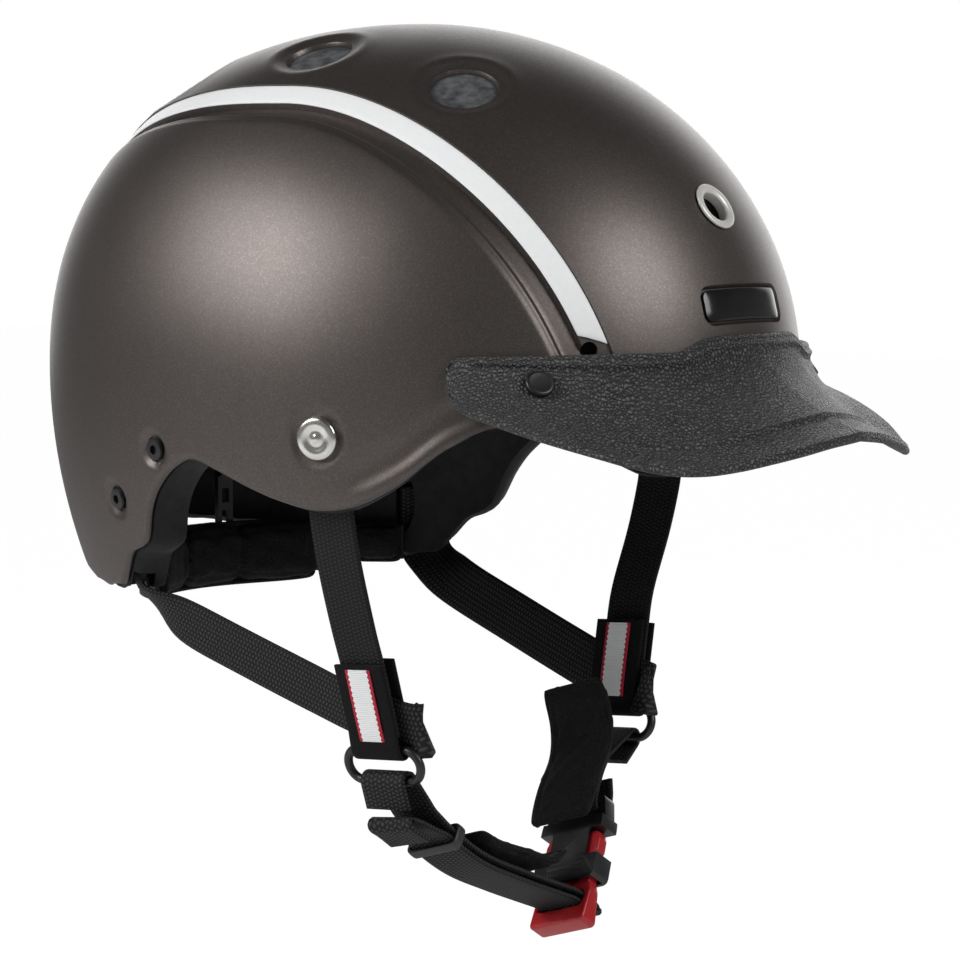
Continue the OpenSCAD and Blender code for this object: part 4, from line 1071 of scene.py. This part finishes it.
def ribbon(name, path, across, width=TAPE_WIDTH, thick=TAPE, spacing=1.2):
    """Woven tape along a path, with UVs that run across and along it in metres."""
    path, across = resample(path, spacing, across)
    path = soften(path, 2)
    tangent = unit(np.gradient(path, axis=0))
    w = unit(across - np.sum(across * tangent, axis=1, keepdims=True) * tangent)
    up = np.cross(tangent, w)
    profile = section(width, thick)
    sides = len(profile)
    verts = path[:, None] + w[:, None] * profile[None, :, :1] + up[:, None] * profile[None, :, 1:]
    verts = verts.reshape(-1, 3)
    along = np.repeat(distances_along(path), sides)
    uvs = np.stack([np.tile(profile[:, 0], len(path)), along], axis=1) * MM
    faces = strip_faces(len(path), sides, wrap_cols=True)
    faces += end_caps(len(path), sides)
    obj = make_object(name, verts, faces, uvs)
    turn_outward(obj)
    return shade(obj, 50)


LOOP_LEAN = math.radians(16)
LOOP_ORIGIN = np.array([0.0, -31.0, -113.0])
LOOP_DOWN = np.array([0.0, -math.sin(LOOP_LEAN), -math.cos(LOOP_LEAN)])
LOOP_ACROSS = np.array([0.0, -math.cos(LOOP_LEAN), math.sin(LOOP_LEAN)])
RING_MIDDLE = (60.8, 5.1)
RING_LEAN = math.radians(15)
RING_ROLL = math.radians(3)
RING_HALF_HEIGHT = 5.2
RING_HALF_WIDTH = 14.0
RING_WIRE = 2.8
RING_OUT = np.array([math.cos(RING_LEAN), -math.sin(RING_LEAN) * math.sin(RING_ROLL),
                     -math.sin(RING_LEAN) * math.cos(RING_ROLL)])
RING_UP = np.array([math.sin(RING_LEAN), math.cos(RING_LEAN) * math.sin(RING_ROLL),
                    math.cos(RING_LEAN) * math.cos(RING_ROLL)])
RING_ACROSS = np.array([0.0, -math.cos(RING_ROLL), math.sin(RING_ROLL)])
RING_DOWN = np.array([0.0, -math.sin(RING_ROLL), -math.cos(RING_ROLL)])
WRAP_RADIUS = RING_WIRE / 2 + TAPE / 2 + 0.5
LAYER_GAP = TAPE + 1.2


def on_loop(p):
    return LOOP_ORIGIN + np.array([p[0], 0, 0]) + LOOP_DOWN * p[1]


def ring_point(out, up):
    return on_loop(RING_MIDDLE) + RING_OUT * out + RING_UP * up


def front_strap(side, name):
    points = [[85.6, -32, -34], [85.2, -32, -40.2], [80.5, -31.3, -56], [73, -30.2, -75],
              ring_point(0, 32), ring_point(0, 22), ring_point(0, RING_HALF_HEIGHT + 4.5)]
    path = smooth_path(points, 8)
    across = [lerp(np.array([0, -1.0, 0]), RING_ACROSS, float(smooth(i / 24)))
              for i in range(len(path))]
    strap = ribbon("front_strap_web_" + name, mirrored(path, side), across)
    finish_piece(strap, "webbing", None, ["front_strap_" + name])
    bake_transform(strap)


def rear_strap(side, name):
    points = [[72.5, 57.0, -62.0], [72.3, 56.4, -67.2], [71.6, 50, -72.6], [70, 38, -78.6],
              [67.4, 14, -87.8], [64.8, -8, -96.0], [63.4, -22, -100.9], [61.9, -38, -104.7],
              [61.4, -43.6, -105.9], [60.2, -47.4, -106.5], [58.6, -46.2, -106.2],
              [58.6, -43.2, -105.6]]
    path = smooth_path(points, 6)
    at_shell, at_ring = np.array([0.6, -0.78, -0.1]), np.array([0.264, 0.3, 0.9])
    across = [lerp(at_shell, at_ring, float(smooth((i - 6) / 14))) for i in range(len(path))]
    strap = ribbon("rear_strap_web_" + name, mirrored(path, side), mirrored(across, side))
    finish_piece(strap, "webbing_coarse", None, ["rear_strap_" + name])
    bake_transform(strap)


def sleeve(side, name):
    gap, far_gap, height = 2.0, 3.95, 28.0
    leg = [[gap, height], [gap, 17], [gap, 7]]
    far_leg = [[-far_gap + 0.25, 3.5], [-far_gap, 7], [-far_gap, 17], [-far_gap, height]]
    turn = [[WRAP_RADIUS * math.cos(a), -WRAP_RADIUS * math.sin(a)]
            for a in np.radians(np.arange(-10, 191, 10))]
    points = [ring_point(x, RING_HALF_HEIGHT + z) for x, z in leg + turn + far_leg]
    band = ribbon("strap_sleeve_fold_" + name, mirrored(points, side), [RING_ACROSS] * len(points),
                  SLEEVE_WIDTH, SLEEVE_THICK, 0.8)
    finish_piece(band, "sleeve_cloth", "harness_" + name, ["strap_sleeve_" + name])
    label = sleeve_label("strap_label_ribbon_" + name, side, gap + 1.0, 1)
    finish_piece(label, "ribbon", "harness_" + name, ["strap_label_" + name])
    inner_label = sleeve_label("strap_label_inner_" + name, side, far_gap + 1.0, -1)
    finish_piece(inner_label, "ribbon", "harness_" + name)


def sleeve_label(name, side, out, face):
    """A sewn ribbon that runs down one face of the sleeve to just above the ring."""
    places = [[out, 26.8], [out + 0.15, 15], [out + 0.05, 5.5], [out - 0.3, 2.5]]
    path = smooth_path([ring_point(face * x, RING_HALF_HEIGHT + z) for x, z in places], 5)
    across = [RING_ACROSS] * len(path)
    return ribbon(name, mirrored(path, side), across, LABEL_WIDTH, LABEL_THICK, 0.6)


def tube(name, path, radius, sides, closed=False):
    p = np.asarray(path, float)
    if closed:
        tangent = unit(np.roll(p, -1, axis=0) - np.roll(p, 1, axis=0))
    else:
        tangent = unit(np.gradient(p, axis=0))
    normal = unit(np.cross(tangent[0], [0.3, 0.5, 0.8]))
    verts = []
    for k in range(len(p)):
        normal = unit(normal - np.dot(normal, tangent[k]) * tangent[k])
        other = np.cross(tangent[k], normal)
        for s in range(sides):
            a = 2 * math.pi * s / sides
            verts.append(p[k] + radius * (math.cos(a) * normal + math.sin(a) * other))
    faces = strip_faces(len(p), sides, wrap_rows=closed, wrap_cols=True)
    if not closed:
        faces += end_caps(len(p), sides)
    obj = make_object(name, np.array(verts), faces)
    turn_outward(obj)
    return shade(obj, 50)


def ring(side, name):
    straight = RING_HALF_WIDTH - RING_HALF_HEIGHT
    points = []
    for end in (1, -1):
        for k in range(25):
            a = math.radians(-90 + 180 * k / 24)
            y = end * (straight + RING_HALF_HEIGHT * math.cos(a))
            z = end * RING_HALF_HEIGHT * math.sin(a)
            points.append(on_loop(RING_MIDDLE) + RING_ACROSS * y + RING_UP * z)
        for k in range(1, 8):
            y = end * straight * (1 - 2 * k / 8)
            points.append(on_loop(RING_MIDDLE) + RING_ACROSS * y + RING_UP * end * RING_HALF_HEIGHT)
    wire = tube("strap_ring_wire_" + name, mirrored(points, side), RING_WIRE / 2, 18, closed=True)
    finish_piece(wire, "black_plastic", "harness_" + name, ["strap_ring_" + name])


for side, name in ((1, "left"), (-1, "right")):
    front_strap(side, name)
    rear_strap(side, name)
    sleeve(side, name)
    ring(side, name)


# Chin webbing
BUCKLE_FOOT = np.array([7.5, 66.5])
BUCKLE_LEAN = math.radians(35.2)
BUCKLE_ALONG = np.array([math.sin(BUCKLE_LEAN), -math.cos(BUCKLE_LEAN)])
BUCKLE_OUT = np.array([math.cos(BUCKLE_LEAN), math.sin(BUCKLE_LEAN)])
SLOT = BUCKLE_FOOT + BUCKLE_ALONG * 8.6


def wrap_bar(start, end, steps):
    turns = np.radians(np.linspace(start, end, steps + 1))
    middle = ring_point(0, -RING_HALF_HEIGHT)
    return [middle + WRAP_RADIUS * (np.array([math.cos(a), 0, 0]) + RING_DOWN * math.sin(a))
            for a in turns]


def from_bar(x, t):
    return ring_point(0, -RING_HALF_HEIGHT) + np.array([x, 0, 0]) + RING_DOWN * t


def flat_path(points, steps):
    p = smooth_path([[x, t, 0] for x, t in points], steps)
    return p[:, :2]


def offset_path(path, distance):
    p = np.asarray(path, float)
    low, high = neighbours(len(p))
    t = unit(p[high] - p[low])
    return p + distance * np.stack([t[:, 1], -t[:, 0]], axis=1)


def loop_webbing(name, start, path):
    points = np.array(list(start) + [on_loop(p) for p in path])
    share = [0.0 if i < len(start) else float(smooth(np.linalg.norm(p - points[0]) / 22))
             for i, p in enumerate(points)]
    across = [lerp(RING_ACROSS, LOOP_ACROSS, t) for t in share]
    return ribbon(name, points, across, spacing=0.9)


def chin_right():
    points = [[-52.5, 22], [-44.5, 31], [-32, 40], [-15, 47.5], [0, 53.4], SLOT - BUCKLE_OUT * 5]
    center = np.concatenate([flat_path(points, 8), [SLOT, SLOT + BUCKLE_OUT * 6.5]])
    inner, outer = offset_path(center, LAYER_GAP / 2), offset_path(center, -LAYER_GAP / 2)
    end = SLOT + BUCKLE_OUT * 6.5
    far_turn = [end + LAYER_GAP / 2 * (BUCKLE_OUT * math.cos(a) - BUCKLE_ALONG * math.sin(a))
                for a in np.radians(np.arange(60, -61, -20))]
    free_end = [[-53.6, 26.4], [-58.5, 23.2], [-62.6, 21.6], [-64.6, 22.6], [-64.2, 24.6],
                [-60.5, 27.0], [-56.5, 29.8]]
    path = list(inner) + far_turn + list(outer[6:][::-1]) + free_end
    start = mirrored([from_bar(0.2, 8.6)] + wrap_bar(30, -140, 16), -1)
    strap = loop_webbing("chin_webbing_tape_right", start, path)
    finish_piece(strap, "webbing_coarse", "chin_strap", ["chin_webbing_right"])


def chin_left():
    loop = [[62, -1.6], [55, -2.9], [49, -3.6], [45, -3.7], [42.2, -3.4], [40.6, -1.8], [40.5, 0],
            [40.6, 1.8], [42.2, 3.4], [45, 3.7], [49, 3.4], [54, 1.6]]
    path = [BUCKLE_FOOT + BUCKLE_ALONG * a + BUCKLE_OUT * o for a, o in loop]
    strap = loop_webbing("chin_webbing_tape_left", [from_bar(-5.4, 7.4)] + wrap_bar(60, -120, 16), path)
    finish_piece(strap, "webbing", "harness_left", ["chin_webbing_left"])


chin_right()
chin_left()


# Moulded pieces of the chin strap
def rounded_polygon(points, radius, steps=5):
    p = np.asarray(points, float)
    out = []
    for k in range(len(p)):
        before, after = p[k - 1] - p[k], p[(k + 1) % len(p)] - p[k]
        reach = min(radius, 0.45 * np.linalg.norm(before), 0.45 * np.linalg.norm(after))
        a, b = p[k] + unit(before) * reach, p[k] + unit(after) * reach
        for t in np.linspace(0, 1, steps):
            out.append(a * (1 - t) ** 2 + p[k] * 2 * t * (1 - t) + b * t * t)
    return np.array(out)


def prism(points, low, high, radius=0.0):
    """An outline raised from one height to another, its corners rounded by the radius."""
    outline = rounded_polygon(points, radius) if radius else np.asarray(points, float)
    return stacked("prism", [(outline, low), (outline, high)])


def block(x, y, z, radius=0.0):
    """An upright box: each of x, y and z is a pair of limits."""
    return prism([[x[0], y[0]], [x[1], y[0]], [x[1], y[1]], [x[0], y[1]]], z[0], z[1], radius)


def bevel(obj, width, segments=3):
    apply_modifier(obj, "BEVEL", width=width * MM, segments=segments, limit_method="ANGLE",
                   angle_limit=math.radians(35), use_clamp_overlap=True)
    return shade(obj, 50)


def axes_matrix(origin, x, y, z):
    m = Matrix.Identity(4)
    for row in range(3):
        m[row] = (x[row], y[row], z[row], origin[row] * MM)
    return m


def in_loop(direction):
    """A direction given as [x, down] in the strap's plane, as a direction in space."""
    return np.array([direction[0], 0, 0]) + LOOP_DOWN * direction[1]


BUCKLE_WIDTH = 22.0
BUCKLE_THICK = 7.0
MOUTH_WIDTH = 25.0


def buckle_prongs(place):
    half = BUCKLE_WIDTH / 2
    body = prism([[-half, 0], [half, 0], [half, 12], [half - 1.2, 15], [-half + 1.2, 15], [-half, 12]],
                 -BUCKLE_THICK / 2, BUCKLE_THICK / 2, 1.8)
    cut(body, [block((-8.9, 8.9), (5.6, 11.6), (-9, 9), 1.4)])
    bevel(body, 0.9, 4)
    for vertex in body.data.vertices:
        vertex.co.z *= 1 - 0.42 * float(smooth((vertex.co.y / MM - 4.5) / 9.0))
    tongue = bevel(block((-2.6, 2.6), (14.2, 22.4), (-1.45, 1.45), 1.0), 0.5)
    pieces = [body, tongue]
    outline = [[5.3, 14.2], [9.6, 14.2], [10.2, 24.8], [11.0, 25.6], [11.0, 30.0], [9.6, 33.0],
               [6.5, 33.0], [5.3, 25]]
    for side in (-1, 1):
        prong = prism([[side * x, y] for x, y in outline][::side], -2.0, 2.0, 0.7)
        pieces.append(bevel(prong, 0.45))
    male = join("buckle_prong_half", pieces)
    male.data.transform(place)
    finish_piece(male, "red_plastic", "chin_strap", ["buckle_male"])


def buckle_mouth(place):
    half = MOUTH_WIDTH / 2
    through = (-9, 9)
    shell = prism([[-half, 15.3], [half, 15.3], [half, 26], [half, 36], [half - 2, 45.9],
                   [-half + 2, 45.9], [-half, 36], [-half, 26]], -3.95, 3.95, 2.2)
    cutters = [block((-11.3, 11.3), (10, 33.4), (-2.6, 2.6), 0.6),
               block((7.2, 18), (23.6, 33.4), through, 1.2),
               block((-18, -7.2), (23.6, 33.4), through, 1.2),
               block((-9.0, 9.0), (38.2, 42.8), (-10, 10), 1.6),
               block((-20, 20), (37.6, 60), (2.4, 12)),
               block((-20, 20), (37.6, 60), (-12, -2.4))]
    for y in (17.6, 19.6, 21.6):
        cutters += [block((-7.5, 7.5), (y, y + 0.8), z) for z in ((3.6, 9), (-9, -3.6))]
    # One at a time, because they overlap
    for cutter in cutters:
        cut(shell, [cutter])
    bevel(shell, 0.7, 3)
    shell.data.transform(place)
    shell.name = "buckle_mouth_half"
    finish_piece(shell, "black_plastic", "harness_left", ["buckle_female"])


def buckle():
    place = axes_matrix(on_loop(BUCKLE_FOOT), -LOOP_ACROSS, in_loop(BUCKLE_ALONG), in_loop(BUCKLE_OUT))
    buckle_prongs(place)
    buckle_mouth(place)


KEEPER_PLACE = (-44.3, 31)
KEEPER_LEAN = math.radians(48.7)


def keeper():
    lean = KEEPER_LEAN
    x = np.array([math.cos(lean), 0, 0]) - LOOP_DOWN * math.sin(lean)
    z = np.array([-math.sin(lean), 0, 0]) - LOOP_DOWN * math.cos(lean)
    inside = (2 * TAPE + 2.6, 18.0)
    outer = rounded_outline((inside[0] + 2.2, inside[1] + 2.2), 2.2)
    inner = rounded_outline((inside[0] + 0.1, inside[1] + 0.1), 1.4)
    layers = []
    for k in range(9):
        a = math.pi * k / 8 - math.pi / 2
        grow = 0.35 * (math.cos(a) - 1)
        layers.append((outer * (1 + grow / 10), 1.7 * math.sin(a)))
    for k in range(9):
        a = math.pi / 2 - math.pi * k / 8
        layers.append((inner, 1.5 * math.sin(a)))
    layers.append(layers[0])
    place = axes_matrix(on_loop(KEEPER_PLACE), x, -LOOP_ACROSS, z)
    band = stacked("strap_keeper_band", layers, place, 50, cap=False)
    finish_piece(band, "keeper_rubber", "keeper", ["strap_keeper"])


def strap_end(matrix, heights):
    m = np.array(matrix)
    points = [m[:3, 3] / MM + m[:3, 2] * z for z in heights]
    return ribbon("end", points, [m[:3, 1]] * len(points))


def strap_ends():
    front, rear = [], []
    for side in (-1, 1):
        end = strap_end(front_end_matrix(side), (6.2, 13, 20, 28))
        rivet_hole = bore(2.15, -8, 16, 24, on_dome(side * RIVET[0], RIVET[1], 14.2))
        front.append(cut(end, [rivet_hole]))
        rear.append(strap_end(rear_end_matrix(side), (5.7, 10, 15, 19.9)))
    finish_piece(join("front_strap_end_tape", front), "webbing", "helmet", ["front_strap_ends"])
    finish_piece(join("rear_strap_end_tape", rear), "webbing_coarse", "helmet",
                 ["rear_strap_ends"])


buckle()
keeper()
strap_ends()


# Cushions
STANDOFF = 1.5
CROWN_STANDOFF = 1.8
PAD_EDGE = 1.2
THIRDS = [("u", 1 / 3), ("u", 2 / 3)]


def head_side(c, lift):
    near_rim = smooth((np.linalg.norm(c, axis=-1) / rim_angle(c, 1.0) - 0.8) / 0.2)
    return dome(c, HEAD_INSET - LINER_THIN * near_rim + lift)


def swell(u, v):
    return np.sqrt(np.maximum(0, (1 - np.abs(2 * u - 1) ** 4) * (1 - np.abs(2 * v - 1) ** 4)))


def inflate(obj, cap):
    """Lets the cover swell under pressure, each point moving no further than the cap."""
    apply_modifier(obj, "REMESH", mode="VOXEL", voxel_size=0.0022, use_smooth_shade=True)
    rest = np.array([v.co for v in obj.data.vertices])
    cloth = obj.modifiers.new("cloth", "CLOTH")
    cloth.settings.use_pressure = True
    cloth.settings.uniform_pressure_force = 4
    cloth.settings.tension_stiffness = 25
    cloth.settings.compression_stiffness = 25
    cloth.settings.bending_stiffness = 0.4
    cloth.settings.shrink_min = -0.04
    cloth.settings.effector_weights.gravity = 0
    cloth.settings.quality = 5
    for number in range(1, 21):
        scene.frame_set(number)
    shown = obj.evaluated_get(bpy.context.evaluated_depsgraph_get())
    moved = np.array([v.co for v in shown.data.vertices]) - rest
    obj.modifiers.remove(cloth)
    scene.frame_set(1)
    far = np.linalg.norm(moved, axis=1, keepdims=True)
    place = rest + moved * np.minimum(1, cap * MM / np.maximum(far, 1e-9))
    obj.data.vertices.foreach_set("co", place.ravel())
    obj.data.update()


def cushion(name, surface, thick, edge, seams, body, node, both_faces=False, cap=1.2):
    """A crowned cushion: surface(u, v, h) gives a point at height h over its base."""
    u, v = np.meshgrid(np.linspace(0, 1, 61), np.linspace(0, 1, 25), indexing="ij")
    rise = edge + 0.82 * thick * swell(u, v)
    top = surface(u, v, rise)
    base = surface(u, v, -rise if both_faces else 0 * u)
    obj = closed_sheet(name, top, base, 4, 0.8)
    turn_outward(obj)
    inflate(obj, cap)
    apply_modifier(obj, "SUBSURF", levels=1, render_levels=1)
    sew(obj, top, base, u, v, seams, both_faces)
    obj.data.polygons.foreach_set("use_smooth", [True] * len(obj.data.polygons))
    pieces = [obj, binding(name, surface, edge, both_faces)] + stitches(obj, surface, rise.max(), seams)
    obj = join(name, pieces)
    finish_piece(obj, "pad_cloth", body, [node])


def seam_distance(u, v, seams, size):
    far = np.full(u.shape, 1e3)
    for kind, place in seams:
        far = np.minimum(far, np.abs((u if kind == "u" else v) - place) * size[0 if kind == "u" else 1])
    return far


def sheet_size(grid):
    return (np.linalg.norm(np.diff(grid[:, 12], axis=0), axis=1).sum(),
            np.linalg.norm(np.diff(grid[30], axis=0), axis=1).sum())


def sew(obj, top, base, u, v, seams, both_faces):
    """Draws the cover in along its seams and adds the fine unevenness of padded cloth."""
    size = sheet_size(top)
    points = np.array([p.co for p in obj.data.vertices]) / MM
    normals = np.array([p.normal for p in obj.data.vertices])
    spots = np.concatenate([top.reshape(-1, 3), base.reshape(-1, 3)])
    tree = KDTree(len(spots))
    for k, spot in enumerate(spots):
        tree.insert(spot, k)
    tree.balance()
    index = np.array([tree.find(p)[1] for p in points])
    on_top = index < top.shape[0] * top.shape[1]
    index = index % (top.shape[0] * top.shape[1])
    uu, vv = u.ravel()[index], v.ravel()[index]
    offset = points - np.where(on_top[:, None], top.reshape(-1, 3)[index], base.reshape(-1, 3)[index])
    run = unit(np.gradient(top, axis=0)).reshape(-1, 3)[index]
    rise = unit(np.gradient(top, axis=1)).reshape(-1, 3)[index]
    uu = uu + np.sum(offset * run, axis=1) / size[0]
    vv = vv + np.sum(offset * rise, axis=1) / size[1]
    far = seam_distance(uu, vv, seams, size)
    depth = 1.5 * np.exp(-(far / 1.7) ** 2) + 0.5 * np.exp(-far / 5.0)
    hem = np.minimum(np.minimum(uu, 1 - uu) * size[0], np.minimum(vv, 1 - vv) * size[1])
    depth += 0.5 * np.exp(-((hem - 3.0) / 0.9) ** 2)
    pucker = 0.18 * np.sin(vv * size[1] / 1.4) * np.exp(-far / 2.5) + 0.12 * np.sin(uu * 31 + vv * 17)
    move = np.where(on_top | both_faces, depth - pucker, 0.0)
    points -= normals * move[:, None]
    obj.data.vertices.foreach_set("co", (points * MM).ravel())
    obj.data.update()


def binding(name, surface, edge, both_faces):
    """The bound hem round a cushion."""
    s = np.linspace(0, 1, 60, endpoint=False)
    m = np.linspace(0, 1, 20, endpoint=False)
    inset = 0.004
    u = np.concatenate([s, np.ones(20), 1 - s, np.zeros(20)])
    v = np.concatenate([np.zeros(60), m, np.ones(60), 1 - m])
    u, v = np.clip(u, inset, 1 - inset), np.clip(v, inset, 1 - inset)
    path = surface(u, v, np.full(u.shape, 0.0 if both_faces else edge * 0.6))
    path = soften(np.concatenate([path, path[:1]]), 3)[:-1]
    return tube(name + "_hem", path, 0.85, 8, closed=True)


def stitches(obj, surface, height, seams):
    """Short thread stitches along each seam."""
    tree = BVHTree.FromObject(obj, bpy.context.evaluated_depsgraph_get())
    made = []
    for kind, place in seams:
        t = np.linspace(0.1, 0.9, 60)
        fixed = np.full(t.shape, place)
        u, v = (fixed, t) if kind == "u" else (t, fixed)
        line = resample(surface(u, v, np.full(t.shape, height)), 0.5)
        for start in range(0, len(line) - 4, 6):
            ends = [np.array(tree.find_nearest(Vector(line[start + k] * MM))[0]) / MM
                    for k in (0, 2, 4)]
            if np.linalg.norm(ends[2] - ends[0]) > 0.5:
                made.append(tube("stitch", np.array(ends), 0.22, 5))
    return made


def dome_cushion(name, turns, angles, thick, seams, node):
    def surface(u, v, h):
        round_off = 0.16 * np.abs(2 * u - 1) ** 6
        angle = lerp(angles[0], angles[1], lerp(round_off, 1 - round_off, v))
        return head_side(chart(lerp(turns[0], turns[1], u), angle), STANDOFF + h)
    cushion(name, surface, thick, PAD_EDGE, seams, "helmet", node)


def crown_cushion():
    def surface(u, v, h):
        waist = 1 - 0.3 * np.abs(2 * u - 1) ** 4
        place = np.stack([lerp(-15, 15, v) * waist, lerp(-44, 30, u)], axis=-1)
        return head_side(place, CROWN_STANDOFF + h)
    cushion("crown_cushion", surface, 6, PAD_EDGE, THIRDS, "helmet", "crown_pad")


CRADLE_CENTER = np.array([0, 28, -66])
CRADLE_RADIUS = 66.0
BAND_RADIUS = 68.9


def arc_cushion(name, turns, radius, thick, height, seams, body, node, lift=0.0, side=1):
    def surface(u, v, h):
        a = np.radians(90 - lerp(turns[0], turns[1], u))
        r = radius - h
        tall = height * (1 - 0.12 * np.abs(2 * u - 1) ** 6)
        offset = np.stack([side * r * np.cos(a), r * np.sin(a), (v - 0.5) * tall + lift], axis=-1)
        return CRADLE_CENTER + offset
    cushion(name, surface, thick, PAD_EDGE, seams, body, node)


def loop_cushion(name, path, thick, width, crown, body, node):
    path = smooth_path([[x, t, 0] for x, t in path], 12)[:, :2]
    length = distances_along(path)
    tangent = unit(np.gradient(path, axis=0))

    def surface(u, v, h):
        at = u * length[-1]
        x, t = np.interp(at, length, path[:, 0]), np.interp(at, length, path[:, 1])
        dx, dt = np.interp(at, length, tangent[:, 0]), np.interp(at, length, tangent[:, 1])
        across = (v - 0.5) * width * (1 - 0.1 * np.abs(2 * u - 1) ** 8)
        x, t = x + h * dt, t - h * dx
        return (LOOP_ORIGIN + x[..., None] * np.array([1.0, 0, 0]) + t[..., None] * LOOP_DOWN
                + across[..., None] * LOOP_ACROSS)
    cushion(name, surface, crown, thick / 2, [], body, node, both_faces=True, cap=0.7)


def cushions():
    fifths = [("u", k / 5) for k in range(1, 5)]
    dome_cushion("brow_cushion", (62, -62), (92, 76), 7, fifths, "brow_pad")
    for side, name in ((-1, "right"), (1, "left")):
        turns = (side * 85 + 14, side * 85 - 14)
        dome_cushion("side_cushion_" + name, turns, (88, 64), 6, [("u", 0.5)], "side_pads")
    crown_cushion()
    arc_cushion("nape_cushion", (-38, 38), CRADLE_RADIUS, 6, 20, THIRDS, "cradle", "nape_pad")
    for side, name, lift in ((1, "left", 1.75), (-1, "right", -1.75)):
        arc_cushion("wing_cushion_" + name, (50.5, 63), BAND_RADIUS - 0.05, 5, 11.9, [],
                    "band_" + name, "wing_pad_" + name, lift, side)
    loop_cushion("chin_sleeve_cushion", [[41.3, -9], [42, 2], [38, 12.2], [28, 21.8], [19, 32.7]],
                 2.4, 24, 1.4, "harness_left", "chin_sleeve")
    loop_cushion("chin_pad_cushion", [[-33, 31.5], [-27, 35.6], [-14, 40.2], [-2, 44.4], [6, 42.8]],
                 1.8, 21, 1.0, "chin_strap", "chin_pad")


cushions()


# Carried-over CAD nodes take the finish of their slot
def dress_nodes():
    slots = {s["node"]: s["material_slot"] for s in frame["record"]["subparts"]}
    for node, obj in frame["nodes"].items():
        for k in range(len(obj.material_slots)):
            obj.material_slots[k].material = MATERIAL[slots[node]]
        if not obj.material_slots:
            obj.data.materials.append(MATERIAL[slots[node]])


dress_nodes()


# Light, floor and backdrop
GREY_RAMP = [(0.0, 0.18), (0.42, 0.19), (0.56, 0.17), (0.72, 0.06), (1.0, 0.03)]
BRIGHT_SIDE = (0.87, 0.50, 0.0)
BRIGHT_LEVEL = 2.6
FLOOR_HEIGHT = -0.34
FLOOR_REACH = 6.0
FLOOR_GLOW = 1.08
FLOOR_GLOW_SHARE = 0.90


def world():
    """White to the camera. Other rays see a grey ramp from below to above, with one bright side."""
    scene.world = bpy.data.worlds.new("studio")
    scene.world.use_nodes = True
    n = Nodes(scene.world.node_tree)
    n.tree.nodes.clear()
    place = n.add("ShaderNodeTexCoord").outputs["Generated"]
    split = n.add("ShaderNodeSeparateXYZ")
    n.link(place, split.inputs[0])
    grey = n.ramp(n.math("MULTIPLY_ADD", split.outputs[2], 0.5, 0.5), GREY_RAMP)
    facing = n.add("ShaderNodeVectorMath", operation="DOT_PRODUCT")
    facing.inputs[1].default_value = BRIGHT_SIDE
    n.link(place, facing.inputs[0])
    patch = n.add("ShaderNodeMapRange", interpolation_type="SMOOTHSTEP", From_Min=0.72, From_Max=0.95)
    n.link(facing.outputs["Value"], patch.inputs["Value"])
    lit = n.mix(patch.outputs["Result"], grey, (BRIGHT_LEVEL,) * 3)
    path = n.add("ShaderNodeLightPath")
    background = n.add("ShaderNodeBackground")
    n.link(n.mix(path.outputs["Is Camera Ray"], lit, (1, 1, 1)), background.inputs["Color"])
    n.link(background.outputs[0], n.add("ShaderNodeOutputWorld").inputs[0])


def area_light(name, place, size, power):
    """A square lamp that points at the middle of the helmet."""
    data = bpy.data.lights.new(name, "AREA")
    data.shape = "RECTANGLE"
    data.size = data.size_y = size
    data.energy = power
    lamp = bpy.data.objects.new(name, data)
    lamp.location = place
    lamp.rotation_euler = (-Vector(place)).to_track_quat("-Z", "Y").to_euler()
    scene.collection.objects.link(lamp)


def floor():
    """A pale floor that glows toward the camera, and that is clear when seen from below."""
    mesh = bpy.data.meshes.new("floor")
    corners = ((-1, -1), (1, -1), (1, 1), (-1, 1))
    mesh.from_pydata([(x * FLOOR_REACH, y * FLOOR_REACH, FLOOR_HEIGHT) for x, y in corners], [],
                     [(0, 1, 2, 3)])
    obj = bpy.data.objects.new("floor", mesh)
    scene.collection.objects.link(obj)
    n = Finish("floor")
    n.color((0.86, 0.86, 0.86))
    n.set(Roughness=0.9)
    glow = n.add("ShaderNodeEmission", Strength=FLOOR_GLOW)
    path = n.add("ShaderNodeLightPath")
    share = n.math("MULTIPLY", path.outputs["Is Camera Ray"], FLOOR_GLOW_SHARE)
    clear = n.add("ShaderNodeBsdfTransparent")
    side = n.add("ShaderNodeNewGeometry")
    surface = n.blend(share, n.shader.outputs[0], glow.outputs[0])
    surface = n.blend(side.outputs["Backfacing"], surface, clear.outputs[0])
    n.link(surface, n.tree.nodes["Material Output"].inputs["Surface"])
    obj.data.materials.append(n.material)


world()
area_light("side", (-1.22, 0.68, 0.76), 0.85, 19)
area_light("front", (0.05, -1.55, 0.95), 0.9, 18)
floor()
